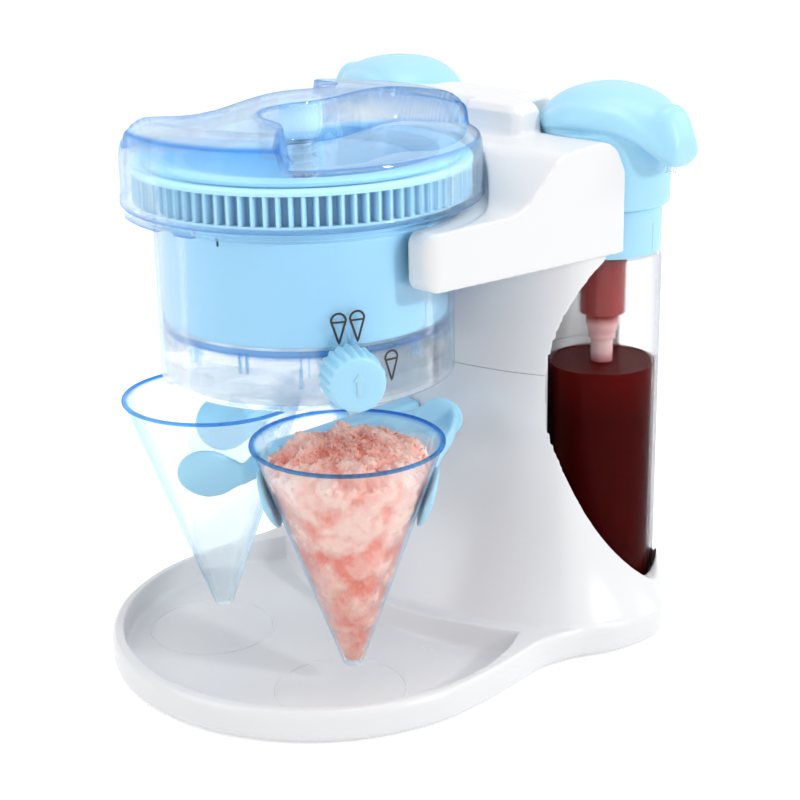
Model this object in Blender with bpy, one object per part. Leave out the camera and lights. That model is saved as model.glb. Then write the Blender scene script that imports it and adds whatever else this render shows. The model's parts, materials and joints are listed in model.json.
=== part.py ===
"""Table-top ice shaver with a hand-turned lid, two syrup pumps and two serving cones.

Lengths are metres, +Z is up and the front faces -Y. The pieces are modelled about the drum's vertical
axis, and the empty "machine" puts that axis where the middle of the footprint falls on the world origin.
"""
import math

import bmesh
import bpy
import numpy as np

# Clearances
FIT = 0.0003
RUNNING_FIT = 0.0010

# Base: a round tray in front, a wider foot behind
TRAY_RADIUS = 0.1000
TRAY_CENTRE_Y = 0.0045
TRAY_WALL = 0.0055
TRAY_RIM_HEIGHT = 0.0160
TRAY_FLOOR_TOP = 0.0036
UNDERSIDE = 0.0012
FOOT_HALF_WIDTH = 0.1130
FOOT_REACH = 0.1640
LEDGE_FRONT_Y = 0.0300
LEDGE_BOW_RADIUS = 0.1600
CONE_RING_RADIUS = 0.0295
CONE_RING_DEPTH = 0.0008
RUBBER_FOOT_RADIUS = 0.0080

# Column between the tray and the arms
SEAM_HEIGHT = 0.1310
COLUMN_FRONT_Y = 0.0660
COLUMN_HALF_WIDTH = 0.0810
COLUMN_WALL = 0.0035
WINDOW_CENTRE_Y = 0.1290
WINDOW_CENTRE_Z = 0.1120
WINDOW_HALF_LENGTH = 0.0475
WINDOW_RISE = 0.0750
WINDOW_DROP = 0.0880
WINDOW_TOP_POWER = 3.2
WINDOW_FOOT_POWER = 1.6
WINDOW_INNER_X = 0.0560

# Arms and hump of the upper casting
ARM_TIP_Y = -0.0020
ARM_BOTTOM = 0.1870
ARM_TOP = 0.2130
ARM_TIP_X = 0.0800
ARM_REAR_X = 0.0930
SHOULDER_TOP = 0.2390
HUMP_TOP = 0.2510
HUMP_HALF_WIDTH = 0.0520
HUMP_FRONT_Y = 0.0830
HUMP_NECK_HALF_WIDTH = 0.0320

# Clear housing that hangs between the arms
HOUSING_RADIUS = 0.0660
HOUSING_WALL = 0.0018
HOUSING_BOTTOM = 0.1403
HOUSING_FLANGE_REACH = 0.0075
HOUSING_FLANGE_RADIUS = HOUSING_RADIUS + HOUSING_FLANGE_REACH
HOUSING_FLANGE_THICKNESS = 0.0028
HOUSING_LEDGE = 0.0030

# Blade plate and what it carries
PLATE_TOP = 0.1660
PLATE_THICKNESS = 0.0026
BLADE_LENGTH = 0.0440
BLADE_WIDTH = 0.0140
BLADE_THICKNESS = 0.0012
BLADE_RISE = 0.0004
BLADE_EDGE_GAP = 0.0062
BLADE_MIDDLE_X = HOUSING_RADIUS - HOUSING_WALL - BLADE_EDGE_GAP - BLADE_LENGTH / 2
CHUTE_FLOOR = 0.0020
CHUTE_WALL_HEIGHT = 0.0065
CHUTE_HOLE_RADIUS = 0.0115

# Rotating drum with its ribbed ring
DRUM_TOP = 0.2384
DRUM_GAP = 0.0012
DRUM_TAPER = 0.0010
DRUM_WALL = 0.0020
DRUM_LIP_REACH = 0.0040
DRUM_LIP_RADIUS = HOUSING_RADIUS + DRUM_LIP_REACH
DRUM_RIBS = 6
DRUM_RIB_DEPTH = 0.0035
RING_REACH = 0.0042
RING_RADIUS = DRUM_LIP_RADIUS + RING_REACH
RING_HEIGHT = 0.0162
RING_RIBS = 88
RING_RIB_DEPTH = 0.0018

# Lid with its two-lobed grip
LID_RING_GAP = 0.0048
LID_RADIUS = RING_RADIUS + LID_RING_GAP
LID_WALL = 0.0022
LID_BOTTOM = 0.2190
LID_FLOOR = 0.2450
LID_CREST = 0.2620
LID_LOBE_FALL = 0.0045
LID_SHOULDER = 0.0070
LID_FACING = math.radians(46)
LUG_DROP = 0.0036

# Pusher that presses on the ice
SPINDLE_RADIUS = 0.0040
PUSHER_GAP = 0.0100
PUSHER_THICKNESS = 0.0030
PUSHER_BOSS_HEIGHT = 0.0060
PUSHER_BOTTOM = 0.2040
PUSHER_TRAVEL = 0.0180
PUSHER_SPIKE = 0.0090
HUB_LENGTH = 0.0160
PRESS_SPRING_RADIUS = 0.0068
PRESS_SPRING_WIRE = 0.0006
PRESS_SPRING_SOLID_LENGTH = 0.0090

# Selector knob on the housing's skirt
KNOB_AZIMUTH = math.radians(-27)
KNOB_HEIGHT = 0.1563
KNOB_RADIUS = 0.0127
KNOB_LENGTH = 0.0180
KNOB_SCALLOPS = 20
KNOB_SHAFT_RADIUS = 0.0030

# Serving cones and their holder
CONE_X = 0.0460
CONE_Y = -0.0195
CONE_RIM_RADIUS = 0.0420
CONE_TIP_RADIUS = 0.0042
CONE_RIM_HEIGHT = 0.1205
CONE_TIP_HEIGHT = 0.0140
CONE_WALL = 0.0013
PAD_RADIUS = 0.0138
PAD_THICKNESS = 0.0032
PAD_HEIGHT = 0.0940
HOLDER_BAR_HEIGHT = 0.0160
HOLDER_BAR_WIDTH = 0.0100
HOLDER_TENON = 0.0030
HOLDER_FORK_REACH = 0.0040
HOLDER_FORK_HALF_GAP = 0.0015
HOLDER_ELBOW_X = 0.0375
HOLDER_ELBOW_Y = 0.0475
HOLDER_ELBOW_BEND = 0.0075
HOLDER_ELBOW_RISE = 0.0170
HOLDER_STRAP_HALF = 0.0100
HOLDER_FOOT_Y = 0.0250

# Syrup bottles and pumps
BOTTLE_X = 0.0660
BOTTLE_Y = 0.1270
BOTTLE_RADIUS = 0.0270
BOTTLE_WALL = 0.0016
BOTTLE_FLOOR = 0.0108
BOTTLE_SHOULDER = 0.1820
BOTTLE_NECK_RADIUS = 0.0130
BOTTLE_NECK_TOP = 0.1917
BAY_GAP = 0.0015
COLLAR_RADIUS = 0.0265
COLLAR_TOP = 0.2105
PUMP_CYLINDER_RADIUS = 0.0108
PUMP_CYLINDER_BOTTOM = 0.1500
DIP_TUBE_RADIUS = 0.0052
CUP_RADIUS = 0.0300
CUP_BOTTOM = 0.2050
PUMP_TRAVEL = 0.0080
HEAD_TOP = 0.2594
HEAD_REACH = 0.0465
HEAD_BELLY = 0.28
PISTON_RADIUS = 0.0088
ROD_RADIUS = 0.0036

# Values that follow from the ones above
DRUM_AXIS_Y = -(FOOT_REACH + TRAY_CENTRE_Y - TRAY_RADIUS) / 2
HOUSING_TOP = LID_BOTTOM + 0.0004
RING_BOTTOM = HOUSING_TOP + FIT
FLANGE_BOTTOM = ARM_TOP + FIT
PLATE_BOTTOM = PLATE_TOP - PLATE_THICKNESS
DRUM_BOTTOM = PLATE_TOP + RUNNING_FIT
HOUSING_BORE = HOUSING_RADIUS - HOUSING_WALL
DRUM_RADIUS_BOTTOM = HOUSING_BORE - DRUM_GAP
DRUM_RADIUS_TOP = DRUM_RADIUS_BOTTOM - DRUM_TAPER
PUSHER_RADIUS = DRUM_RADIUS_TOP - DRUM_WALL - PUSHER_GAP
BAY_RADIUS = BOTTLE_RADIUS + BAY_GAP
CUP_CLEARANCE_RADIUS = CUP_RADIUS + BAY_GAP
CONE_HEIGHT = CONE_RIM_HEIGHT - CONE_TIP_HEIGHT
CONE_SLOPE = math.atan2(CONE_RIM_RADIUS - CONE_TIP_RADIUS, CONE_HEIGHT)
HOLDER_BAR_MIDDLE = PAD_HEIGHT + 0.0060
WHITE, SKY, CLEAR_BLUE, CLEAR, STEEL, RUBBER = "white", "sky", "clear_blue", "clear", "steel", "rubber"
FINISHES = {
    WHITE: ((0.86, 0.87, 0.89), 0.22, 0.0),
    SKY: ((0.40, 0.70, 0.92), 0.35, 0.0),
    CLEAR_BLUE: ((0.62, 0.83, 0.95), 0.08, 0.0),
    CLEAR: ((0.90, 0.92, 0.93), 0.06, 0.0),
    STEEL: ((0.62, 0.63, 0.65), 0.25, 1.0),
    RUBBER: ((0.20, 0.21, 0.22), 0.80, 0.0),
}


def clear_scene():
    """Remove whatever the start-up file holds."""
    for item in list(bpy.data.objects):
        bpy.data.objects.remove(item, do_unlink=True)


def finish(name):
    """Return the material of that name, made on first use."""
    found = bpy.data.materials.get(name)
    if found:
        return found
    colour, roughness, metallic = FINISHES[name]
    material = bpy.data.materials.new(name)
    material.use_nodes = True
    shader = material.node_tree.nodes["Principled BSDF"]
    shader.inputs["Base Color"].default_value = (*colour, 1.0)
    shader.inputs["Roughness"].default_value = roughness
    shader.inputs["Metallic"].default_value = metallic
    return material


def empty(name, parent, place=(0, 0, 0), turn_z=0.0):
    """Add an empty that carries one moving group."""
    holder = bpy.data.objects.new(name, None)
    holder.location = place
    holder.rotation_euler = (0, 0, turn_z)
    holder.parent = parent
    bpy.context.collection.objects.link(holder)
    return holder


def is_bent(face):
    """True for a face whose corners don't lie in one plane."""
    middle = face.calc_center_median()
    return any(abs((corner.co - middle).dot(face.normal)) > 1e-7 for corner in face.verts)


def solid(name, points, faces, material, parent, smooth=True):
    """Make one closed object from points and faces, with its faces turned outwards."""
    mesh = bpy.data.meshes.new(name)
    mesh.from_pydata([tuple(p) for p in np.asarray(points, float)], [], faces)
    shape = bmesh.new()
    shape.from_mesh(mesh)
    bmesh.ops.recalc_face_normals(shape, faces=shape.faces)
    bent = [face for face in shape.faces if is_bent(face)]
    bmesh.ops.triangulate(shape, faces=bent)
    shape.to_mesh(mesh)
    shape.free()
    if smooth:
        mesh.shade_smooth()
        mesh.set_sharp_from_angle(angle=math.radians(35))
    mesh.materials.append(finish(material))
    made = bpy.data.objects.new(name, mesh)
    made.parent = parent
    bpy.context.collection.objects.link(made)
    return made


def as_tool(made):
    """Mark an object as a cutter or an operand that isn't a piece."""
    made.hide_render = True
    made.display_type = "WIRE"
    return made


def combine(target, tool, operation):
    """Add a Boolean of the given kind to the target."""
    as_tool(tool)
    step = target.modifiers.new(tool.name, "BOOLEAN")
    step.operation = operation
    step.object = tool
    step.solver = "EXACT"
    return target


def cut(target, *tools):
    for tool in tools:
        combine(target, tool, "DIFFERENCE")
    return target


def join(target, *tools):
    for tool in tools:
        combine(target, tool, "UNION")
    return target


def circle(radius, count, centre=(0.0, 0.0), phase=0.0):
    """Points of a circle in a plane, as an array of pairs."""
    angle = np.linspace(0, 2 * np.pi, count, endpoint=False) + phase
    return np.stack([centre[0] + radius * np.cos(angle), centre[1] + radius * np.sin(angle)], axis=1)


def rounded(corners, steps=4):
    """Outline through (x, y, radius) corners, each turned by an arc of its radius."""
    outline = []
    count = len(corners)
    for index, (x, y, radius) in enumerate(corners):
        here = np.array([x, y])
        if radius <= 0:
            outline.append(here)
            continue
        before = np.array(corners[index - 1][:2]) - here
        after = np.array(corners[(index + 1) % count][:2]) - here
        longest_before, longest_after = np.linalg.norm(before), np.linalg.norm(after)
        before, after = before / longest_before, after / longest_after
        half = math.acos(max(-1.0, min(1.0, float(before @ after)))) / 2
        reach = min(radius / math.tan(half), 0.49 * longest_before, 0.49 * longest_after)
        start, end = here + before * reach, here + after * reach
        for step in range(steps + 1):
            share = step / steps
            outline.append((1 - share) ** 2 * start + 2 * share * (1 - share) * here + share ** 2 * end)
    return np.array(outline)


def smooth_outline(points, samples):
    """Closed curve through the points, by cubic Hermite spans with centred tangents."""
    points = np.asarray(points, float)
    share = np.linspace(0, 1, samples, endpoint=False)[:, None]
    spans = []
    for index in range(len(points)):
        a, b = points[index - 1], points[index]
        c, d = points[(index + 1) % len(points)], points[(index + 2) % len(points)]
        t1, t2 = (c - a) / 2, (d - b) / 2
        spans.append((2 * share ** 3 - 3 * share ** 2 + 1) * b + (share ** 3 - 2 * share ** 2 + share) * t1
                     + (-2 * share ** 3 + 3 * share ** 2) * c + (share ** 3 - share ** 2) * t2)
    return np.concatenate(spans)


def loft(name, rings, material, parent):
    """Skin between rings of equally many points, closed by a face at each end."""
    rings = [np.asarray(ring, float) for ring in rings]
    count = len(rings[0])
    faces = []
    for level in range(len(rings) - 1):
        for i in range(count):
            j = (i + 1) % count
            low, high = level * count, (level + 1) * count
            faces.append((low + i, low + j, high + j, high + i))
    faces.append(tuple(range(count)))
    faces.append(tuple(range((len(rings) - 1) * count, len(rings) * count)))
    return solid(name, np.concatenate(rings), faces, material, parent)


def prism(name, outline, low, high, material, parent):
    """Extrude an (x, y) outline from one height to another."""
    outline = np.asarray(outline, float)
    rings = [np.column_stack([outline, np.full(len(outline), z)]) for z in (low, high)]
    return loft(name, rings, material, parent)


def prism_x(name, outline, low, high, material, parent):
    """Extrude a (y, z) outline from one x to another."""
    outline = np.asarray(outline, float)
    rings = [np.column_stack([np.full(len(outline), x), outline]) for x in (low, high)]
    return loft(name, rings, material, parent)


def box(name, low, high, material, parent):
    """Rectangular block between two corners."""
    outline = [(low[0], low[1]), (high[0], low[1]), (high[0], high[1]), (low[0], high[1])]
    return prism(name, outline, low[2], high[2], material, parent)


def turned(name, profile, material, parent, count=40, centre=(0.0, 0.0), axis="Z"):
    """Turn a profile of (radius, height) pairs; one that starts and ends at radius 0 has poles."""
    open_ends = profile[0][0] == 0 and profile[-1][0] == 0
    angle = np.linspace(0, 2 * np.pi, count, endpoint=False)
    points, rows = [], []
    for radius, height in profile:
        if radius == 0:
            rows.append([len(points)])
            points.append((0, 0, height))
        else:
            rows.append(list(range(len(points), len(points) + count)))
            points.extend(zip(radius * np.cos(angle), radius * np.sin(angle), np.full(count, height)))
    pairs = list(zip(rows, rows[1:])) + ([] if open_ends else [(rows[-1], rows[0])])
    faces = []
    for first, second in pairs:
        for i in range(count):
            j = (i + 1) % count
            corners = [first[i % len(first)], first[j % len(first)], second[j % len(second)],
                       second[i % len(second)]]
            faces.append(tuple(dict.fromkeys(corners)))
    points = np.array(points, float)
    if axis == "X":
        points = points[:, [2, 0, 1]]
    points[:, 0] += centre[0]
    points[:, 1] += centre[1]
    return solid(name, points, faces, material, parent)


def rod(name, radius, low, high, material, parent, count=20, centre=(0.0, 0.0), axis="Z"):
    """Plain round bar."""
    profile = [(0, low), (radius, low), (radius, high), (0, high)]
    return turned(name, profile, material, parent, count, centre, axis)


# Base and column

def mirrored(right, front, rear, samples=2):
    """Smooth closed outline from the points of its right half and its two middle points."""
    left = [(-x, y) for x, y in right[::-1]]
    return smooth_outline([front] + right + [rear] + left, samples)


def base_outline():
    """Footprint: the tray's circle, a waist, and the wide rounded foot behind it."""
    arc = []
    for degrees in (-75, -60, -45, -30, -12, 5):
        angle = math.radians(degrees)
        arc.append((TRAY_RADIUS * math.cos(angle), TRAY_CENTRE_Y + TRAY_RADIUS * math.sin(angle)))
    waist = [(0.975 * TRAY_RADIUS, 0.232 * FOOT_REACH), (0.963 * TRAY_RADIUS, 0.332 * FOOT_REACH)]
    shares = [(0.889, 0.442), (0.973, 0.567), (1.000, 0.700), (0.963, 0.774), (0.850, 0.902), (0.620, 0.970),
              (0.310, 0.995)]
    foot = [(FOOT_HALF_WIDTH * x, FOOT_REACH * y) for x, y in shares]
    return mirrored(arc + waist + foot, (0, TRAY_CENTRE_Y - TRAY_RADIUS), (0, FOOT_REACH))


def column_section(height, spread, widen=0.0, rear=FOOT_REACH - 0.004):
    """One level of the column; spread 1 is its flared foot and 0 its slim upper part."""
    depth_low, depth_high = FOOT_REACH - LEDGE_FRONT_Y, rear - COLUMN_FRONT_Y
    # share of half width and of depth, at the foot and above
    shares = [(0.230, 0.064, 0.247, 0.011), (0.460, 0.112, 0.494, 0.048), (0.655, 0.183, 0.716, 0.101),
              (0.805, 0.261, 0.889, 0.170), (0.888, 0.328, 0.969, 0.239), (0.969, 0.470, 1.000, 0.340),
              (0.998, 0.627, 1.000, 0.511), (0.956, 0.731, 0.981, 0.660), (0.845, 0.881, 0.889, 0.830),
              (0.615, 0.959, 0.667, 0.941), (0.310, 0.990, 0.346, 0.989)]
    front = COLUMN_FRONT_Y + spread * (LEDGE_FRONT_Y + 0.006 - COLUMN_FRONT_Y)
    right = []
    for x_low, y_low, x_high, y_high in shares:
        low = np.array([x_low * FOOT_HALF_WIDTH, LEDGE_FRONT_Y + y_low * depth_low])
        high = np.array([x_high * (COLUMN_HALF_WIDTH + widen), COLUMN_FRONT_Y + y_high * depth_high])
        right.append(tuple(spread * low + (1 - spread) * high))
    outline = mirrored(right, (0, front), (0, rear + 0.0036 * spread))
    return np.column_stack([outline, np.full(len(outline), height)])


def column_levels():
    """Heights and spreads of the lower column."""
    start = TRAY_RIM_HEIGHT - 0.002
    rise = SEAM_HEIGHT - start
    shares = [(0.0, 1.0), (0.02, 0.99), (0.06, 0.85), (0.12, 0.66), (0.22, 0.44), (0.36, 0.26), (0.58, 0.09),
              (1.0, 0.0)]
    return [(start + up * rise, spread) for up, spread in shares]


def make_bay_tools(parent):
    """Cutters of the two bottle bays, each with the side window that shows the bottle."""
    tools = []
    for side, word in ((1, "right"), (-1, "left")):
        step = BOTTLE_SHOULDER + 0.001
        bay = turned(f"bay_{word}", [
            (0, BOTTLE_FLOOR - FIT), (BAY_RADIUS, BOTTLE_FLOOR - FIT), (BAY_RADIUS, step),
            (CUP_CLEARANCE_RADIUS, step), (CUP_CLEARANCE_RADIUS, HEAD_TOP + 0.02), (0, HEAD_TOP + 0.02)],
            WHITE, parent, 32, (side * BOTTLE_X, BOTTLE_Y))
        angle = np.linspace(0, 2 * np.pi, 28, endpoint=False)
        across, up = np.cos(angle), np.sin(angle)
        squareness = np.where(up > 0, 2 / WINDOW_TOP_POWER, 2 / WINDOW_FOOT_POWER)
        outline = np.stack([
            WINDOW_CENTRE_Y + WINDOW_HALF_LENGTH * np.sign(across) * np.abs(across) ** squareness,
            WINDOW_CENTRE_Z + np.where(up > 0, WINDOW_RISE, -WINDOW_DROP) * np.abs(up) ** squareness,
        ], axis=1)
        inner, outer = sorted((side * WINDOW_INNER_X, side * (FOOT_HALF_WIDTH + 0.02)))
        tools.append(join(bay, prism_x(f"window_{word}", outline, inner, outer, WHITE, parent)))
    return tools


def make_base(parent, bay_tools):
    """Tray, foot and lower column in one white casting, with its cover, screws and rubber feet."""
    outline = base_outline()
    inset = outline * np.array([0.985, 1.0])
    edge = 0.0025
    body = loft("base_body", [
        np.column_stack([inset, np.full(len(outline), UNDERSIDE)]),
        np.column_stack([outline, np.full(len(outline), UNDERSIDE + edge)]),
        np.column_stack([outline, np.full(len(outline), TRAY_RIM_HEIGHT - edge)]),
        np.column_stack([inset, np.full(len(outline), TRAY_RIM_HEIGHT)]),
    ], WHITE, parent)
    join(body, loft("base_column", [column_section(*level) for level in column_levels()], WHITE, parent))

    recess = rod("tray_recess", TRAY_RADIUS - TRAY_WALL, TRAY_FLOOR_TOP, TRAY_RIM_HEIGHT + 0.01, WHITE,
                 parent,
                 56, (0, TRAY_CENTRE_Y))
    ledge = rod("tray_ledge", LEDGE_BOW_RADIUS, 0, TRAY_RIM_HEIGHT + 0.02, WHITE, parent, 54,
                (0, LEDGE_FRONT_Y + LEDGE_BOW_RADIUS))
    cut(recess, ledge)
    for side, word in ((1, "right"), (-1, "left")):
        join(recess, rod(f"cone_ring_{word}", CONE_RING_RADIUS, TRAY_FLOOR_TOP - CONE_RING_DEPTH,
                         TRAY_FLOOR_TOP + 0.002, WHITE, parent, 24, (side * CONE_X, CONE_Y - 0.0075)))
    socket_half = HOLDER_BAR_HEIGHT / 2 + FIT
    socket = box("holder_socket", (-HOLDER_BAR_WIDTH / 2 - FIT, LEDGE_FRONT_Y,
                                   HOLDER_BAR_MIDDLE - socket_half),
                 (HOLDER_BAR_WIDTH / 2 + FIT, COLUMN_FRONT_Y + HOLDER_TENON + FIT,
                  HOLDER_BAR_MIDDLE + socket_half), WHITE, parent)
    cut(body, recess, socket, *bay_tools)

    cavity_x = BOTTLE_X - BAY_RADIUS - COLUMN_WALL
    chamber_x = WINDOW_INNER_X - COLUMN_WALL
    cavity_front, cavity_rear = COLUMN_FRONT_Y + 1.5 * COLUMN_WALL, FOOT_REACH - 0.004 - 2 * COLUMN_WALL
    ceiling = SEAM_HEIGHT - COLUMN_WALL
    cover_x, cover_front, cover_rear = chamber_x + 0.006, cavity_front - 0.006, cavity_rear + 0.002
    cover_top = UNDERSIDE + 0.0026
    cavity = box("column_cavity", (-cavity_x, cavity_front, 0), (cavity_x, cavity_rear, ceiling), WHITE,
                 parent)
    join(cavity,
         box("front_chamber", (-chamber_x, COLUMN_FRONT_Y + 0.013, -0.001),
             (chamber_x, BOTTLE_Y - BAY_RADIUS - COLUMN_WALL, ceiling - 0.004), WHITE, parent),
         box("cover_recess", (-cover_x - FIT, cover_front - FIT, -0.002),
             (cover_x + FIT, cover_rear + FIT, cover_top + FIT), WHITE, parent))
    cut(body, cavity)
    cover = box("bottom_cover", (-cover_x, cover_front, UNDERSIDE), (cover_x, cover_rear, cover_top),
                WHITE, parent)

    screw_radius, head_radius, head_height = 0.0013, 0.0026, 0.0008
    depth = cover_top + 0.0046
    spots = [(sx * (cover_x - 0.003), y) for sx in (1, -1) for y in (cover_front + 0.005, cover_rear - 0.006)]
    for number, spot in enumerate(spots, 1):
        clearance = rod(f"cover_screw_hole_{number}", screw_radius + FIT, 0, depth + FIT, WHITE, parent,
                        8, spot)
        cut(body, clearance)
        cut(cover, clearance)
        head_top = UNDERSIDE - FIT
        turned(f"cover_screw_{number}", [
            (0, head_top - head_height), (head_radius, head_top - head_height), (head_radius, head_top),
            (screw_radius, head_top), (screw_radius, depth), (0, depth)], STEEL, parent, 8, spot)
    tie_x, tie_y = cavity_x - 0.0055, 0.5 * (cavity_front + cavity_rear)
    for side, word in ((1, "right"), (-1, "left")):
        spot = (side * tie_x, tie_y)
        cut(body, rod(f"tie_hole_{word}", 0.0020 + FIT, ceiling - 0.01, SEAM_HEIGHT + 0.01, WHITE, parent,
                      8, spot))
        turned(f"tie_screw_{word}", [
            (0, ceiling - FIT - 0.0025), (0.0040, ceiling - FIT - 0.0025), (0.0040, ceiling - FIT),
            (0.0020, ceiling - FIT), (0.0020, SEAM_HEIGHT + 0.014), (0, SEAM_HEIGHT + 0.014)],
            STEEL, parent, 8, spot)
    spots = [("front_right", 0.60 * TRAY_RADIUS, TRAY_CENTRE_Y - 0.56 * TRAY_RADIUS),
             ("front_left", -0.60 * TRAY_RADIUS, TRAY_CENTRE_Y - 0.56 * TRAY_RADIUS),
             ("rear_right", 0.72 * FOOT_HALF_WIDTH, 0.70 * FOOT_REACH),
             ("rear_left", -0.72 * FOOT_HALF_WIDTH, 0.70 * FOOT_REACH)]
    for name, x, y in spots:
        rod(f"rubber_foot_{name}", RUBBER_FOOT_RADIUS, 0, UNDERSIDE - FIT, RUBBER, parent, 16, (x, y))
    return tie_x, tie_y, cavity_rear


def make_head(parent, bay_tools, tie_x, tie_y, cavity_rear):
    """Upper casting: the column's top, two arms that carry the housing, and the hump behind the lid."""
    seam = SEAM_HEIGHT + FIT
    rear = FOOT_REACH - 0.004
    arm_top, arm_low = ARM_TOP, ARM_BOTTOM
    side_profile = rounded([
        (ARM_TIP_Y, arm_low, 0.006),
        (ARM_TIP_Y, arm_top, 0.006),
        (0.0480, arm_top + 0.001, 0.020),
        (0.0700, SHOULDER_TOP - 0.003, 0.014),
        (0.1010, SHOULDER_TOP + 0.001, 0.014),
        (0.1130, arm_top + 0.004, 0.016),
        (0.1200, arm_low - 0.002, 0.0),
        (0.0980, arm_low - 0.002, 0.004),
        (0.0250, arm_low + 0.0025, 0.010),
    ])
    arms = prism_x("head_shell", side_profile, -ARM_REAR_X - 0.01, ARM_REAR_X + 0.01, WHITE, parent)
    end_y = BOTTLE_Y - 0.0170
    slant = (ARM_REAR_X - ARM_TIP_X) / (end_y - ARM_TIP_Y)
    right = [(ARM_TIP_X - 0.016, ARM_TIP_Y, 0.004), (ARM_TIP_X, ARM_TIP_Y, 0.007),
             (ARM_TIP_X + slant * (0.05 - ARM_TIP_Y), 0.05, 0), (ARM_REAR_X, end_y, 0.003),
             (HUMP_NECK_HALF_WIDTH, end_y + 0.006, 0)]
    left = [(-x, y, r) for x, y, r in right[::-1]]
    notch = [(-0.02, 0.02, 0), (0.02, 0.02, 0)]
    plan = prism("arm_plan", rounded(right + left + notch), ARM_BOTTOM - 0.03, HUMP_TOP, WHITE, parent)
    combine(arms, plan, "INTERSECT")

    column = loft("head_column", [
        column_section(seam, 0.0),
        column_section(seam + 0.030, 0.0, 0.0030),
        column_section(ARM_BOTTOM + 0.006, 0.0, 0.0070),
        column_section(ARM_BOTTOM + 0.018, 0.0, 0.0060, rear - 0.004),
    ], WHITE, parent)
    hump_levels = [(ARM_TOP - 0.010, 0.0, 0.0), (SHOULDER_TOP - 0.004, 0.0, 0.004),
                   (HUMP_TOP - 0.003, 0.0015, 0.014),
                   (HUMP_TOP, 0.0050, 0.026)]
    hump_rear = rear - 0.012
    rings = []
    for height, inset, slope in hump_levels:
        wide, thin = HUMP_HALF_WIDTH - inset, HUMP_NECK_HALF_WIDTH - inset
        front = HUMP_FRONT_Y + inset
        corners = [(-wide, front, 0.006), (-0.019 + inset, front, 0.003), (-0.015, front + 0.008, 0.003),
                   (0.015, front + 0.008, 0.003), (0.019 - inset, front, 0.003), (wide, front, 0.006),
                   (wide, 0.100, 0.006), (thin, 0.108, 0.006), (thin, hump_rear - slope, 0.014),
                   (-thin, hump_rear - slope, 0.014), (-thin, 0.108, 0.006), (-wide, 0.100, 0.006)]
        outline = rounded(corners, 3)
        rings.append(np.column_stack([outline, np.full(len(outline), height)]))
    hump = loft("head_hump", rings, WHITE, parent)
    join(arms, column, hump)

    cavity_top = SHOULDER_TOP - 0.004
    cut(arms,
        rod("housing_clearance", HOUSING_RADIUS + 0.0012, HOUSING_BOTTOM - 0.003, HUMP_TOP + 0.02, WHITE,
            parent, 48),
        rod("lid_clearance", LID_RADIUS + 0.0022, ARM_TOP, HUMP_TOP + 0.03, WHITE, parent, 48),
        *bay_tools)
    inner_x = tie_x - 0.0060
    cut(arms, box("head_cavity", (-inner_x, LID_RADIUS + 0.009, 0.1),
                  (inner_x, cavity_rear - 0.014, cavity_top),
                  WHITE, parent))
    for side, word in ((1, "right"), (-1, "left")):
        cut(arms, rod(f"tie_socket_{word}", 0.0020 + FIT, seam - 0.01, SEAM_HEIGHT + 0.015, WHITE, parent, 8,
                      (side * tie_x, tie_y)))


# Housing, blade plate and chute

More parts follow.
